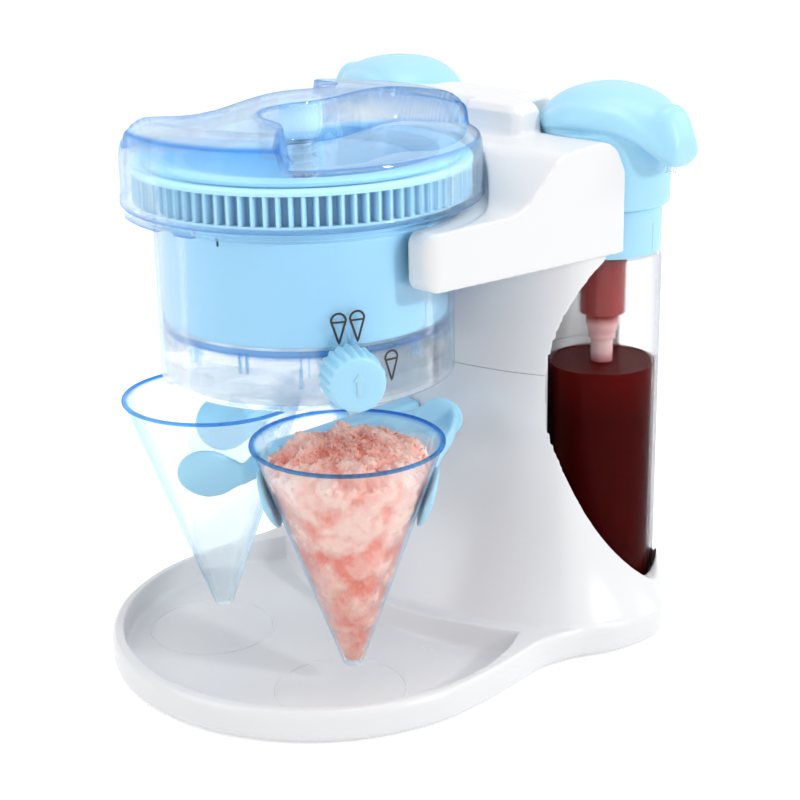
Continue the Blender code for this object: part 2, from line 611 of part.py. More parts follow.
def make_housing(parent):
    """Clear cylinder that hangs by its flange between the arms and carries the blade plate."""
    ledge_top = PLATE_BOTTOM - FIT
    flange_top = FLANGE_BOTTOM + HOUSING_FLANGE_THICKNESS
    housing = turned("housing", [
        (HOUSING_RADIUS, HOUSING_BOTTOM), (HOUSING_RADIUS, FLANGE_BOTTOM),
        (HOUSING_FLANGE_RADIUS, FLANGE_BOTTOM), (HOUSING_FLANGE_RADIUS, flange_top),
        (HOUSING_RADIUS, flange_top), (HOUSING_RADIUS, HOUSING_TOP), (HOUSING_BORE, HOUSING_TOP),
        (HOUSING_BORE, ledge_top), (HOUSING_BORE - HOUSING_LEDGE, ledge_top),
        (HOUSING_BORE - HOUSING_LEDGE, ledge_top - 0.002), (HOUSING_BORE, ledge_top - 0.0045),
        (HOUSING_BORE, HOUSING_BOTTOM)], CLEAR_BLUE, parent, 44)
    axis = empty("knob_bore_axis", parent, (0, 0, KNOB_HEIGHT), KNOB_AZIMUTH)
    cut(housing, rod("knob_bore", KNOB_SHAFT_RADIUS + FIT, HOUSING_BORE - KNOB_LENGTH,
                     HOUSING_RADIUS + KNOB_LENGTH,
                     WHITE, axis, 16, axis="X"))

    plate = turned("blade_plate", [
        (0, PLATE_BOTTOM), (HOUSING_BORE - FIT, PLATE_BOTTOM), (HOUSING_BORE - FIT, PLATE_TOP),
        (0, PLATE_TOP)],
        CLEAR_BLUE, parent, 44)
    bush_radius = SPINDLE_RADIUS + 0.0035
    slot_half = BLADE_WIDTH / 2
    cut(plate, rod("bush_hole", bush_radius + FIT, PLATE_BOTTOM - 0.01, PLATE_TOP + 0.01, WHITE, parent, 14),
        box("blade_slot", (BLADE_MIDDLE_X - BLADE_LENGTH / 2, -slot_half, PLATE_BOTTOM - 0.01),
            (BLADE_MIDDLE_X + BLADE_LENGTH / 2, 0.0015, PLATE_TOP + 0.01), WHITE, parent))
    turned("spindle_bush", [
        (SPINDLE_RADIUS + FIT, PLATE_BOTTOM - 0.003), (bush_radius + 0.002, PLATE_BOTTOM - 0.003),
        (bush_radius + 0.002, PLATE_BOTTOM - FIT), (bush_radius, PLATE_BOTTOM - FIT),
        (bush_radius, PLATE_TOP), (SPINDLE_RADIUS + FIT, PLATE_TOP)], WHITE, parent, 14)

    length = BLADE_LENGTH - 0.004
    seat = PLATE_BOTTOM - FIT
    edge_y, heel_y = -slot_half + 0.002, BLADE_WIDTH
    edge_z = PLATE_TOP + BLADE_RISE
    blade_outline = [(heel_y, seat - BLADE_THICKNESS), (heel_y, seat), (0.0015, seat), (edge_y, edge_z),
                     (edge_y + 0.0008, edge_z - 0.0004), (0.0015, seat - BLADE_THICKNESS)]
    blade = prism_x("blade", blade_outline, BLADE_MIDDLE_X - length / 2, BLADE_MIDDLE_X + length / 2,
                    STEEL, parent)
    for number, offset in ((1, -0.3), (2, 0.3)):
        spot = (BLADE_MIDDLE_X + offset * length, 0.5 * (heel_y + 0.0015))
        hole = rod(f"blade_screw_hole_{number}", 0.0012 + FIT, seat - 0.01, PLATE_TOP - 0.0006, WHITE,
                   parent, 8, spot)
        cut(blade, hole)
        cut(plate, hole)
        head_top = seat - BLADE_THICKNESS - FIT
        turned(f"blade_screw_{number}", [
            (0, head_top - 0.0014), (0.0024, head_top - 0.0014), (0.0024, head_top), (0.0012, head_top),
            (0.0012, PLATE_TOP - 0.0009), (0, PLATE_TOP - 0.0009)], STEEL, parent, 8, spot)

    floor_low = HOUSING_BOTTOM + 0.0020
    floor_top = floor_low + CHUTE_FLOOR
    chute_radius = HOUSING_BORE - FIT
    chute = turned("chute", [
        (0, floor_low), (chute_radius, floor_low), (chute_radius, floor_top + CHUTE_WALL_HEIGHT),
        (chute_radius - 0.0016, floor_top + CHUTE_WALL_HEIGHT), (chute_radius - 0.0016, floor_top),
        (0, floor_top)],
        CLEAR_BLUE, parent, 44)
    hole_reach = math.hypot(CONE_X, CONE_Y)
    for side, word in ((1, "right"), (-1, "left")):
        spot = (side * CONE_X, CONE_Y)
        cut(chute, rod(f"chute_hole_{word}", CHUTE_HOLE_RADIUS, floor_low - 0.01, floor_top + 0.001,
                       WHITE, parent, 16, spot))
    divider = prism("chute_divider", rounded([
        (-0.0010, -hole_reach - 0.006, 0), (0.0010, -hole_reach - 0.006, 0), (0.0010, hole_reach + 0.006, 0),
        (-0.0010, hole_reach + 0.006, 0)]), floor_top - 0.0005, floor_top + CHUTE_WALL_HEIGHT - 0.001,
        WHITE, parent)
    join(chute, divider)


# Drum, lid and pusher

def make_drum(parent):
    """Inner drum that carries the ice round, with its ribbed ring."""
    lip_low = DRUM_TOP - 0.0020
    inner_top, inner_bottom = DRUM_RADIUS_TOP - DRUM_WALL, DRUM_RADIUS_BOTTOM - DRUM_WALL
    drum = turned("drum", [
        (DRUM_RADIUS_BOTTOM, DRUM_BOTTOM), (DRUM_RADIUS_TOP, lip_low), (DRUM_LIP_RADIUS, lip_low),
        (DRUM_LIP_RADIUS, DRUM_TOP), (inner_top, DRUM_TOP), (inner_bottom, DRUM_BOTTOM)], SKY, parent, 44)
    for number in range(DRUM_RIBS):
        axis = empty(f"drum_rib_axis_{number + 1}", parent, (0, 0, 0),
                     2 * math.pi * (number + 0.5) / DRUM_RIBS)
        join(drum, box(f"drum_rib_{number + 1}", (inner_top - DRUM_RIB_DEPTH, -0.0012, DRUM_BOTTOM + 0.001),
                       (inner_top + 0.0008, 0.0012, PUSHER_BOTTOM - 0.004), SKY, axis))

    low, high = RING_BOTTOM, RING_BOTTOM + RING_HEIGHT
    high = min(high, lip_low - FIT)
    bore = DRUM_RADIUS_TOP + 4 * FIT
    root = RING_RADIUS - RING_RIB_DEPTH
    pitch = 2 * math.pi / RING_RIBS
    outline = []
    for number in range(RING_RIBS):
        start = number * pitch
        for share, radius in ((0.0, root), (0.5, RING_RADIUS)):
            angle = start + share * pitch
            outline.append((radius * math.cos(angle), radius * math.sin(angle)))
    flange = 0.0026
    ring = prism("ribbed_ring", outline, low, high - flange, SKY, parent)
    join(ring, turned("ring_flange", [
        (0, high - flange - 0.0004), (RING_RADIUS + 0.0004, high - flange - 0.0004),
        (RING_RADIUS + 0.0004, high - 0.0008), (RING_RADIUS - 0.0008, high), (0, high)], SKY, parent, 44))
    cut(ring, rod("ring_bore", bore, low - 0.01, high + 0.01, SKY, parent, 44))


def pocket_distance(points):
    """Signed distance from the grip's two finger pockets, negative inside them, in the lid's own plan."""
    half = np.array([
        (-0.003, -0.058), (-0.0125, -0.043), (-0.0125, -0.031), (-0.004, -0.022), (0.006, -0.017),
        (0.016, -0.007), (0.0225, 0.004), (0.0285, 0.015), (0.036, 0.026), (0.046, 0.031), (0.060, 0.027),
        (0.090, 0.018), (0.110, -0.030), (0.080, -0.095), (0.020, -0.110),
        (-0.002, -0.080)]) * (LID_RADIUS / 0.079)
    best = np.full(len(points), np.inf)
    for turn in (1, -1):
        corner = turn * half
        nearest = np.full(len(points), np.inf)
        inside = np.zeros(len(points), bool)
        for a, b in zip(corner, np.roll(corner, -1, axis=0)):
            edge = b - a
            share = np.clip(((points - a) @ edge) / (edge @ edge), 0, 1)
            nearest = np.minimum(nearest, np.linalg.norm(points - a - share[:, None] * edge, axis=1))
            crosses = (a[1] > points[:, 1]) != (b[1] > points[:, 1])
            rise = edge[1] if edge[1] != 0 else 1e-12
            inside ^= crosses & (points[:, 0] < a[0] + (points[:, 1] - a[1]) * edge[0] / rise)
        best = np.minimum(best, np.where(inside, -nearest, nearest))
    return best


def lid_height(points, shrink):
    """Height of the lid's top over plan points; shrink moves the surface inwards by the wall."""
    reach = np.linalg.norm(points, axis=1) / LID_RADIUS
    crest = LID_CREST - LID_LOBE_FALL * reach ** 2
    slope = np.clip((pocket_distance(points) - shrink + 0.0015) / 0.003, 0, 1)
    blend = slope * slope * (3 - 2 * slope)
    shoulder = LID_SHOULDER * np.clip((reach - 0.86) / 0.14, 0, 1) ** 2
    rounding = 0.0012 * np.clip((reach - 0.9) / 0.1, 0, 1) ** 2
    return LID_FLOOR + blend * (crest - shoulder - LID_FLOOR) - rounding - shrink


def make_lid(parent):
    """Clear lid with a skirt, a two-lobed grip and lugs that lock on the drum's ring."""
    count = 68
    angle = np.linspace(0, 2 * np.pi, count, endpoint=False)
    direction = np.stack([np.cos(angle), np.sin(angle)], axis=1)
    shares = [*np.linspace(0.12, 0.84, 9), 0.90, 0.95, 0.992]
    inner_shares = [0.992, *np.linspace(0.93, 0.15, 9)]
    turn = np.array([[math.cos(LID_FACING), -math.sin(LID_FACING)],
                     [math.sin(LID_FACING), math.cos(LID_FACING)]])

    def level(plan, height):
        return np.column_stack([plan @ turn.T, np.broadcast_to(height, (len(plan),))])

    inner = LID_RADIUS - LID_WALL
    rings = [level(direction * LID_RADIUS * share, lid_height(direction * LID_RADIUS * share, 0.0))
             for share in shares]
    rings.append(level(direction * LID_RADIUS, LID_FLOOR - 0.004))
    rings.append(level(direction * LID_RADIUS, LID_BOTTOM))
    rings.append(level(direction * inner, LID_BOTTOM))
    rings.append(level(direction * inner, LID_FLOOR - 0.004 - LID_WALL))
    rings += [level(direction * inner * share, lid_height(direction * inner * share, LID_WALL))
              for share in inner_shares]
    centre = np.zeros((1, 2))
    points = np.concatenate([*rings, level(centre, lid_height(centre, 0.0)),
                             level(centre, lid_height(centre, LID_WALL))])
    faces = []
    for row in range(len(rings) - 1):
        for i in range(count):
            j = (i + 1) % count
            faces.append((row * count + i, row * count + j, (row + 1) * count + j, (row + 1) * count + i))
    last = (len(rings) - 1) * count
    for i in range(count):
        j = (i + 1) % count
        faces.append((i, len(rings) * count, j))
        faces.append((last + i, last + j, len(rings) * count + 1))
    lid = solid("lid", points, faces, CLEAR_BLUE, parent)
    for number, (start, end) in enumerate(((246, 269), (277, 284), (66, 89), (97, 104)), 1):
        steps = np.radians(np.linspace(start, end, 5))
        outer = np.stack([np.cos(steps), np.sin(steps)], axis=1)
        outline = np.concatenate([outer * (LID_RADIUS + 0.0006), outer[::-1] * (inner - 0.0008)])
        join(lid, prism(f"lid_lug_{number}", outline, LID_BOTTOM - LUG_DROP, LID_BOTTOM + 0.0030,
                        CLEAR_BLUE, parent))

    underside = float(lid_height(np.zeros((1, 2)), LID_WALL)[0])
    hub_low = underside - HUB_LENGTH
    hub_top = underside - FIT - 0.0002
    turned("lid_hub", [
        (SPINDLE_RADIUS + FIT, hub_low), (0.0075, hub_low), (0.0095, hub_low + 0.004),
        (0.0095, hub_top),
        (SPINDLE_RADIUS + FIT, hub_top)], SKY, parent, 16)
    rod("spindle", SPINDLE_RADIUS, PLATE_BOTTOM - 0.002, hub_top, STEEL, parent, 14)
    return hub_low


def make_pusher(parent, hub_low):
    """Spiked disc that a spring presses down on the ice."""
    plate_top = PUSHER_BOTTOM + PUSHER_THICKNESS
    boss_top = min(plate_top + PUSHER_BOSS_HEIGHT, hub_low - PUSHER_TRAVEL - PRESS_SPRING_SOLID_LENGTH)
    bore = SPINDLE_RADIUS + 2 * FIT
    disc = turned("pusher", [
        (bore, PUSHER_BOTTOM), (PUSHER_RADIUS, PUSHER_BOTTOM), (PUSHER_RADIUS, plate_top),
        (0.0105, plate_top),
        (0.0095, boss_top), (bore, boss_top)], SKY, parent, 28)
    for number in range(6):
        angle = 2 * math.pi * number / 6
        spot = (0.7 * PUSHER_RADIUS * math.cos(angle), 0.7 * PUSHER_RADIUS * math.sin(angle))
        join(disc, turned(f"pusher_spike_{number + 1}", [
            (0, PUSHER_BOTTOM - PUSHER_SPIKE), (0.0010, PUSHER_BOTTOM - PUSHER_SPIKE),
            (0.0035, PUSHER_BOTTOM + 0.001),
            (0, PUSHER_BOTTOM + 0.001)], SKY, parent, 6, spot))
    turned("stop_ring", [
        (SPINDLE_RADIUS + FIT, PUSHER_BOTTOM - 0.0024), (0.0072, PUSHER_BOTTOM - 0.0024),
        (0.0072, PUSHER_BOTTOM - FIT), (SPINDLE_RADIUS + FIT, PUSHER_BOTTOM - FIT)], STEEL, parent, 14)
    coil("press_spring", PRESS_SPRING_RADIUS, PRESS_SPRING_WIRE, boss_top + FIT, hub_low - FIT, 5, parent)


def coil(name, radius, wire, low, high, turns, parent):
    """Compression spring of round wire between two heights, and the least gap between its turns."""
    per_turn = 8
    count = turns * per_turn + 1
    share = np.linspace(0, 1, count)
    height = (low + wire) + share * (high - low - 2 * wire)
    angle = 2 * np.pi * turns * share
    path = np.column_stack([radius * np.cos(angle), radius * np.sin(angle), height])
    tangent = np.gradient(path, axis=0)
    tangent /= np.linalg.norm(tangent, axis=1)[:, None]
    outward = np.column_stack([np.cos(angle), np.sin(angle), np.zeros(count)])
    across = np.cross(tangent, outward)
    section = np.linspace(0, 2 * np.pi, 4, endpoint=False)
    rings = [path[i] + wire * (np.outer(np.cos(section), outward[i]) + np.outer(np.sin(section), across[i]))
             for i in range(count)]
    gap = np.linalg.norm(path[per_turn:] - path[:-per_turn], axis=1).min() - 2 * wire
    print(f"{name}: least gap between turns {gap * 1000:.2f} mm")
    return loft(name, rings, STEEL, parent)


# Selector knob

def make_selector(parent):
    """Scalloped knob on the skirt, its shaft, and the flap that closes one cone's chute."""
    axis = empty("selector_axis", parent, (0, 0, KNOB_HEIGHT), KNOB_AZIMUTH)
    start = HOUSING_RADIUS + FIT
    end = start + KNOB_LENGTH
    angle = np.linspace(0, 2 * np.pi, 2 * KNOB_SCALLOPS, endpoint=False)
    swell = 0.5 + 0.5 * np.cos(KNOB_SCALLOPS * angle)

    def ring(x, radius, depth):
        reach = radius - depth * (1 - swell)
        return np.column_stack([np.full(len(angle), x), reach * np.cos(angle), reach * np.sin(angle)])

    knob = loft("selector_knob", [
        ring(start, KNOB_RADIUS + 0.0004, 0.0012), ring(end - 0.0015, KNOB_RADIUS, 0.0012),
        ring(end, KNOB_RADIUS - 0.0014, 0.0002)], SKY, axis)
    cut(knob, rod("knob_socket", KNOB_SHAFT_RADIUS + FIT, start - 0.01, start + 0.6 * KNOB_LENGTH, WHITE,
                  axis, 16,
                  axis="X"))
    arrow = np.array([(-0.0009, -0.0048), (0.0009, -0.0048), (0.0009, 0.0016), (0.0022, 0.0016),
                      (0.0, 0.0050),
                      (-0.0022, 0.0016), (-0.0009, 0.0016)]) * (KNOB_RADIUS / 0.0127)
    join(knob, prism_x("knob_arrow", arrow, end - 0.0005, end + 0.0004, SKY, axis))
    inner_end = 0.0140
    rod("selector_shaft", KNOB_SHAFT_RADIUS, inner_end, start + 0.6 * KNOB_LENGTH - FIT, SKY, axis, 16,
        axis="X")
    flap_low = -(KNOB_HEIGHT - HOUSING_BOTTOM - 0.0020 - CHUTE_FLOOR) + 0.0016
    box("diverter_flap", (inner_end + 0.002, -0.0008, flap_low),
        (HOUSING_BORE - 0.0060, 0.0008, -KNOB_SHAFT_RADIUS - FIT), CLEAR_BLUE, axis)


# Cones and their holder

def make_cone(parent, side, word):
    """Tapered serving cone, open at its rim."""
    axis = empty(f"cone_axis_{word}", parent, (side * CONE_X, CONE_Y, 0))
    slope = (CONE_RIM_RADIUS - CONE_TIP_RADIUS) / CONE_HEIGHT
    floor = CONE_TIP_HEIGHT + 0.0020
    bead = 0.0007
    return turned(f"cone_{word}", [
        (0, CONE_TIP_HEIGHT), (CONE_TIP_RADIUS, CONE_TIP_HEIGHT),
        (CONE_RIM_RADIUS - 0.0016 * slope, CONE_RIM_HEIGHT - 0.0016),
        (CONE_RIM_RADIUS + bead, CONE_RIM_HEIGHT - 0.0008),
        (CONE_RIM_RADIUS, CONE_RIM_HEIGHT), (CONE_RIM_RADIUS - CONE_WALL, CONE_RIM_HEIGHT),
        (CONE_TIP_RADIUS + slope * 0.0020 - CONE_WALL, floor), (0, floor)], CLEAR_BLUE, axis, 40)


def strap(name, stations, parent):
    """Flat strap through stations of (x, y, z, half height, outward unit normal, lean)."""
    rings = []
    for x, y, z, half_height, normal, lean in stations:
        out = np.array([normal[0] * math.cos(lean), normal[1] * math.cos(lean), -math.sin(lean)])
        rise = np.array([normal[0] * math.sin(lean), normal[1] * math.sin(lean), math.cos(lean)])
        half = PAD_THICKNESS / 2
        centre = np.array([x, y, z])
        rings.append([centre + out * a * half + rise * b * half_height for a, b in
                      ((-1, -0.75), (-1, 0.75), (-0.35, 1), (0.35, 1), (1, 0.75), (1, -0.75), (0.35, -1),
                       (-0.35, -1))])
    return loft(name, rings, SKY, parent)


def make_holder(parent):
    """Sky-blue holder: a bar plugged into the column that forks into flat pads round both cones."""
    share = (PAD_HEIGHT - CONE_TIP_HEIGHT) / CONE_HEIGHT
    cone_radius = CONE_TIP_RADIUS + (CONE_RIM_RADIUS - CONE_TIP_RADIUS) * share
    reach = cone_radius + (PAD_THICKNESS / 2 + FIT) / math.cos(CONE_SLOPE)
    bar_z = HOLDER_BAR_MIDDLE
    bar_half = HOLDER_BAR_HEIGHT / 2
    bar = box("cone_holder", (-HOLDER_BAR_WIDTH / 2, CONE_Y - HOLDER_FORK_REACH, bar_z - bar_half),
              (HOLDER_BAR_WIDTH / 2, COLUMN_FRONT_Y - 0.0020, bar_z + bar_half), SKY, parent)
    diagonal = math.sqrt(0.5)
    for side, word in ((1, "right"), (-1, "left")):
        out = np.array([side * diagonal, diagonal])
        along = np.array([side * diagonal, -diagonal])
        cone = np.array([side * CONE_X, CONE_Y])
        disc = [(-1.0, 0.30), (-0.93, 0.52), (-0.75, 0.78), (-0.4, 0.96), (0, 1.0), (0.4, 0.95),
                (0.7, 0.80), (0.9, 0.60), (1.2, 0.50)]
        inner_pad = cone - out * reach
        stations = []
        for step, size in disc:
            place = inner_pad - along * step * PAD_RADIUS
            stations.append((*place, PAD_HEIGHT, size * PAD_RADIUS, -out, CONE_SLOPE))
        root = np.array([side * HOLDER_FORK_HALF_GAP, CONE_Y + 0.5 * HOLDER_FORK_REACH])
        halfway = 0.35 * root + 0.65 * np.array(stations[-1][0:2])
        stations.append((*halfway, PAD_HEIGHT + 0.2 * HOLDER_ELBOW_RISE, 0.70 * HOLDER_STRAP_HALF, -out,
                         0.5 * CONE_SLOPE))
        stations.append((*root, bar_z, 0.65 * HOLDER_STRAP_HALF, -out, 0.0))
        join(bar, strap(f"inner_pad_{word}", stations, parent))

        outer_pad = cone + out * reach
        stations = []
        for step, size in disc:
            place = outer_pad - along * step * PAD_RADIUS
            stations.append((*place, PAD_HEIGHT, size * PAD_RADIUS, out, CONE_SLOPE))
        elbow = np.array([side * HOLDER_ELBOW_X, HOLDER_ELBOW_Y])
        turns = [(0.30, 0.80), (0.62, 0.92)]
        last = np.array(stations[-1][0:2])
        for share, size in turns:
            place = (1 - share) * last + share * (elbow + out * 1.4 * HOLDER_ELBOW_BEND)
            rise = HOLDER_ELBOW_RISE * 14 / 15 * share
            stations.append((*place, PAD_HEIGHT + rise, size * HOLDER_STRAP_HALF, out, CONE_SLOPE * (1 - share)))
        elbow_z = PAD_HEIGHT + HOLDER_ELBOW_RISE
        for degrees, size in ((10, 0.96), (40, 1.0), (70, 1.0), (95, 0.95)):
            angle = math.radians(degrees)
            normal = out * math.cos(angle) - along * math.sin(angle)
            place = elbow + HOLDER_ELBOW_BEND * normal
            stations.append((*place, elbow_z, size * HOLDER_STRAP_HALF, normal, 0.0))
        foot = np.array([0.0, HOLDER_FOOT_Y])
        normal = out * math.cos(math.radians(95)) - along * math.sin(math.radians(95))
        last = np.array(stations[-1][0:2])
        for share, size in ((0.45, 0.80), (1.0, 0.65)):
            place = (1 - share) * last + share * foot
            height = (1 - share) * elbow_z + share * bar_z
            stations.append((*place, height, size * HOLDER_STRAP_HALF, normal, 0.0))
        join(bar, strap(f"outer_pad_{word}", stations, parent))


# Bottles and pumps

def make_bottle(parent, side, word):
    """Clear syrup bottle with its screw collar, pump cylinder, dip tube and spring."""
    axis = empty(f"bottle_axis_{word}", parent, (side * BOTTLE_X, BOTTLE_Y, 0))
    radius, wall = BOTTLE_RADIUS, BOTTLE_WALL
    neck_bore = PUMP_CYLINDER_RADIUS + 2 * FIT
    turned(f"bottle_{word}", [
        (0, BOTTLE_FLOOR), (radius - 0.0035, BOTTLE_FLOOR), (radius - 0.0008, BOTTLE_FLOOR + 0.0012),
        (radius, BOTTLE_FLOOR + 0.0040), (radius, BOTTLE_SHOULDER - 0.0055),
        (radius - 0.0016, BOTTLE_SHOULDER - 0.0017),
        (radius - 0.0055, BOTTLE_SHOULDER), (BOTTLE_NECK_RADIUS, BOTTLE_SHOULDER + 0.0002),
        (BOTTLE_NECK_RADIUS, BOTTLE_NECK_TOP), (neck_bore, BOTTLE_NECK_TOP),
        (neck_bore, BOTTLE_SHOULDER - wall),
        (radius - 0.0055, BOTTLE_SHOULDER - wall), (radius - wall, BOTTLE_SHOULDER - 0.0060),
        (radius - wall, BOTTLE_FLOOR + 0.0040), (0, BOTTLE_FLOOR + 0.0022)],
        CLEAR, axis, 28)

    flange_low = BOTTLE_NECK_TOP + FIT
    flange_top = flange_low + 0.0020
    collar_low = BOTTLE_SHOULDER + 0.0002 + FIT
    top_low = COLLAR_TOP - 0.0025
    turned(f"collar_{word}", [
        (BOTTLE_NECK_RADIUS + FIT, collar_low), (COLLAR_RADIUS - 0.0006, collar_low),
        (COLLAR_RADIUS, collar_low + 0.0006),
        (COLLAR_RADIUS, COLLAR_TOP), (ROD_RADIUS + FIT, COLLAR_TOP), (ROD_RADIUS + FIT, top_low),
        (PUMP_CYLINDER_RADIUS, top_low), (PUMP_CYLINDER_RADIUS, flange_top + FIT),
        (BOTTLE_NECK_RADIUS + FIT, flange_top + FIT)], SKY, axis, 28)
    outer, bore = PUMP_CYLINDER_RADIUS, PISTON_RADIUS + FIT
    tube_top = PUMP_CYLINDER_BOTTOM + 0.006
    taper_low = PUMP_CYLINDER_BOTTOM - 0.004
    tube_bore = DIP_TUBE_RADIUS + FIT
    turned(f"pump_cylinder_{word}", [
        (tube_bore, taper_low), (tube_bore + 0.0014, taper_low), (outer, PUMP_CYLINDER_BOTTOM),
        (outer, flange_low),
        (BOTTLE_NECK_RADIUS - FIT, flange_low), (BOTTLE_NECK_RADIUS - FIT, flange_top), (bore, flange_top),
        (bore, tube_top), (DIP_TUBE_RADIUS - 0.0014, tube_top), (DIP_TUBE_RADIUS - 0.0014, tube_top - 0.0020),
        (tube_bore, tube_top - 0.0020)], CLEAR, axis, 16)
    tube_low = BOTTLE_FLOOR + 0.0060
    turned(f"dip_tube_{word}", [
        (DIP_TUBE_RADIUS - 0.0012, tube_low), (DIP_TUBE_RADIUS, tube_low),
        (DIP_TUBE_RADIUS, tube_top - 0.0020 - FIT),
        (DIP_TUBE_RADIUS - 0.0012, tube_top - 0.0020 - FIT)], CLEAR, axis, 12)
    piston_low = flange_low - 0.0060
    coil(f"pump_spring_{word}", PISTON_RADIUS - 0.0022, 0.0005, tube_top + FIT, piston_low - FIT, 4, axis)
    return axis, piston_low


def make_pump_head(axis, side, word, piston_low):
    """Sky-blue pump head with its beak, on a rod whose piston works in the cylinder."""
    inner_top = COLLAR_TOP + PUMP_TRAVEL + 0.0030
    bore = COLLAR_RADIUS + 2 * FIT
    cup_top = HEAD_TOP - 0.0230
    cup = turned(f"pump_head_{word}", [
        (0, inner_top), (bore, inner_top), (bore, CUP_BOTTOM), (CUP_RADIUS, CUP_BOTTOM),
        (CUP_RADIUS, cup_top),
        (0, cup_top)], SKY, axis, 28)
    crown, beak = CUP_RADIUS + 0.0008, HEAD_REACH
    # along the head: x, half width, underside, top
    stations = [
        (-1.000 * crown, 0.0060, -0.0235, -0.0205), (-0.940 * crown, 0.0130, -0.0240, -0.0150),
        (-0.780 * crown, 0.0205, -0.0240, -0.0085), (-0.550 * crown, 0.0262, -0.0238, -0.0038),
        (-0.280 * crown, 0.0298, -0.0230, -0.0010), (0.000, 0.0306, -0.0222, 0.0),
        (0.270 * beak, 0.0272, -0.0220, -0.0008), (0.500 * beak, 0.0222, -0.0228, -0.0032),
        (0.640 * beak, 0.0182, -0.0252, -0.0062), (0.730 * beak, 0.0152, -0.0290, -0.0072),
        (0.800 * beak, 0.0134, -0.0318, -0.0066), (0.870 * beak, 0.0118, -0.0336, -0.0082),
        (0.940 * beak, 0.0100, -0.0334, -0.0142), (1.000 * beak, 0.0072, -0.0290, -0.0215)]
    angle = np.linspace(0, 2 * np.pi, 16, endpoint=False)
    rings = []
    for x, half_width, low, high in stations:
        wide = half_width * np.sign(np.cos(angle)) * np.abs(np.cos(angle)) ** 0.90
        belly = HEAD_BELLY * (high - low)
        tall = np.where(np.sin(angle) > 0, high - low - belly, belly) * np.sin(angle)
        height = HEAD_TOP + low + belly + tall
        rings.append(np.column_stack([np.full(len(angle), side * x), wide, height]))
    join(cup, loft(f"beak_{word}", rings, SKY, axis))

    nozzle_x = side * 0.80 * HEAD_REACH
    nozzle_top = HEAD_TOP - 0.0330
    bore_tool = rod(f"nozzle_bore_{word}", 0.0030 + FIT, nozzle_top - 0.01, nozzle_top + 0.0060 + FIT,
                    WHITE, axis, 12,
                    (nozzle_x, 0))
    cut(cup, bore_tool)
    turned(f"nozzle_{word}", [
        (0.0016, nozzle_top - 0.0040), (0.0026, nozzle_top - 0.0040), (0.0030, nozzle_top - 0.0034),
        (0.0030, nozzle_top + 0.0060), (0.0016, nozzle_top + 0.0060)], CLEAR, axis, 12, (nozzle_x, 0))
    rod(f"pump_rod_{word}", ROD_RADIUS, piston_low + 0.0006, inner_top - FIT, CLEAR, axis, 12)
    turned(f"piston_{word}", [
        (ROD_RADIUS + FIT, piston_low), (PISTON_RADIUS, piston_low), (PISTON_RADIUS, piston_low + 0.0045),
        (ROD_RADIUS + FIT, piston_low + 0.0045)], WHITE, axis, 16)


def main():
    clear_scene()
    machine = empty("machine", None, (0, DRUM_AXIS_Y, 0))
    bay_tools = make_bay_tools(machine)
    tie_x, tie_y, cavity_rear = make_base(machine, bay_tools)
    make_head(machine, bay_tools, tie_x, tie_y, cavity_rear)
    make_housing(machine)
    make_drum(machine)
    hub_low = make_lid(machine)
    make_pusher(machine, hub_low)
    make_selector(machine)
    make_holder(machine)
    for side, word in ((1, "right"), (-1, "left")):
        make_cone(machine, side, word)
        axis, piston_low = make_bottle(machine, side, word)
        make_pump_head(axis, side, word, piston_low)


main()
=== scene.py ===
# %% [markdown]
# A hand-turned ice shaver, dressed for a photograph
#
# The machine is a white moulded stand with a round tray. A clear housing hangs between its two arms, and a
# sky-blue drum turns inside it under a clear grip lid. Two clear cones stand under the housing, and two syrup
# bottles with pump heads sit in bays in the column. Every length is in metres, +Z is up and the front faces -Y.
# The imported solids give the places, and this lesson builds the fine surfaces and the finishes on them.

# %% The frame and its box
import json
import math

import bmesh
import bpy
import numpy as np
from mathutils import Matrix, Vector


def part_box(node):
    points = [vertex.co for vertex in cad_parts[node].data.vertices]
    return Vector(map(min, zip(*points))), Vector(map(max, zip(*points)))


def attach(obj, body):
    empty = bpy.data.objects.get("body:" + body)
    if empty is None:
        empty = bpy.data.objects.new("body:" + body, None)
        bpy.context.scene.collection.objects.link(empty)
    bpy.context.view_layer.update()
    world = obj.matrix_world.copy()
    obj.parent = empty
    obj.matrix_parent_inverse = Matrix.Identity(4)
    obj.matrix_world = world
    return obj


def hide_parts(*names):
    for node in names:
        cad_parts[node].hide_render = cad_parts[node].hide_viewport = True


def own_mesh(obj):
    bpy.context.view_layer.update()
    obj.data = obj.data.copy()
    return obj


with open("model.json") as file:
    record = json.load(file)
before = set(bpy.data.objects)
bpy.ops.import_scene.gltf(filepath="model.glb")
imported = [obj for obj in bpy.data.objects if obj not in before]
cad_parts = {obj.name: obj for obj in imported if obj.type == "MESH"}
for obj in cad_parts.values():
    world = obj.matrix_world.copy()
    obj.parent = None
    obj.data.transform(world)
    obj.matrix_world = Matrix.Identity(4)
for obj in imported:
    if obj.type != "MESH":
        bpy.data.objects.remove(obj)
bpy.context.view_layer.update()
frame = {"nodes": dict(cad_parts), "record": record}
NODES = frame["nodes"]

# %% [markdown]
# Shapes that turn, such as the drum, the lid and the housing, share one upright axis. It doesn't pass through
# the origin, because the origin is the middle of the footprint. So shapes are worked out about that axis, and
# one small shift moves the finished points to their place.

# %% The drum's axis
drum_low, drum_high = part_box("drum")
DRUM_Y = 0.5 * (drum_low.y + drum_high.y)
AXIS = np.array([0.0, DRUM_Y, 0.0])
print("the drum's axis is at y =", round(DRUM_Y, 5))

# %% [markdown]
# A surface here is a grid of points: rows run along a profile and columns run round it. The helper below joins
# neighbouring grid points into four-sided faces with array indexing, closes the seam, welds the poles and turns
# the faces outwards. One helper then serves every turned, lofted or swept piece.

# %% From a grid of points to a mesh


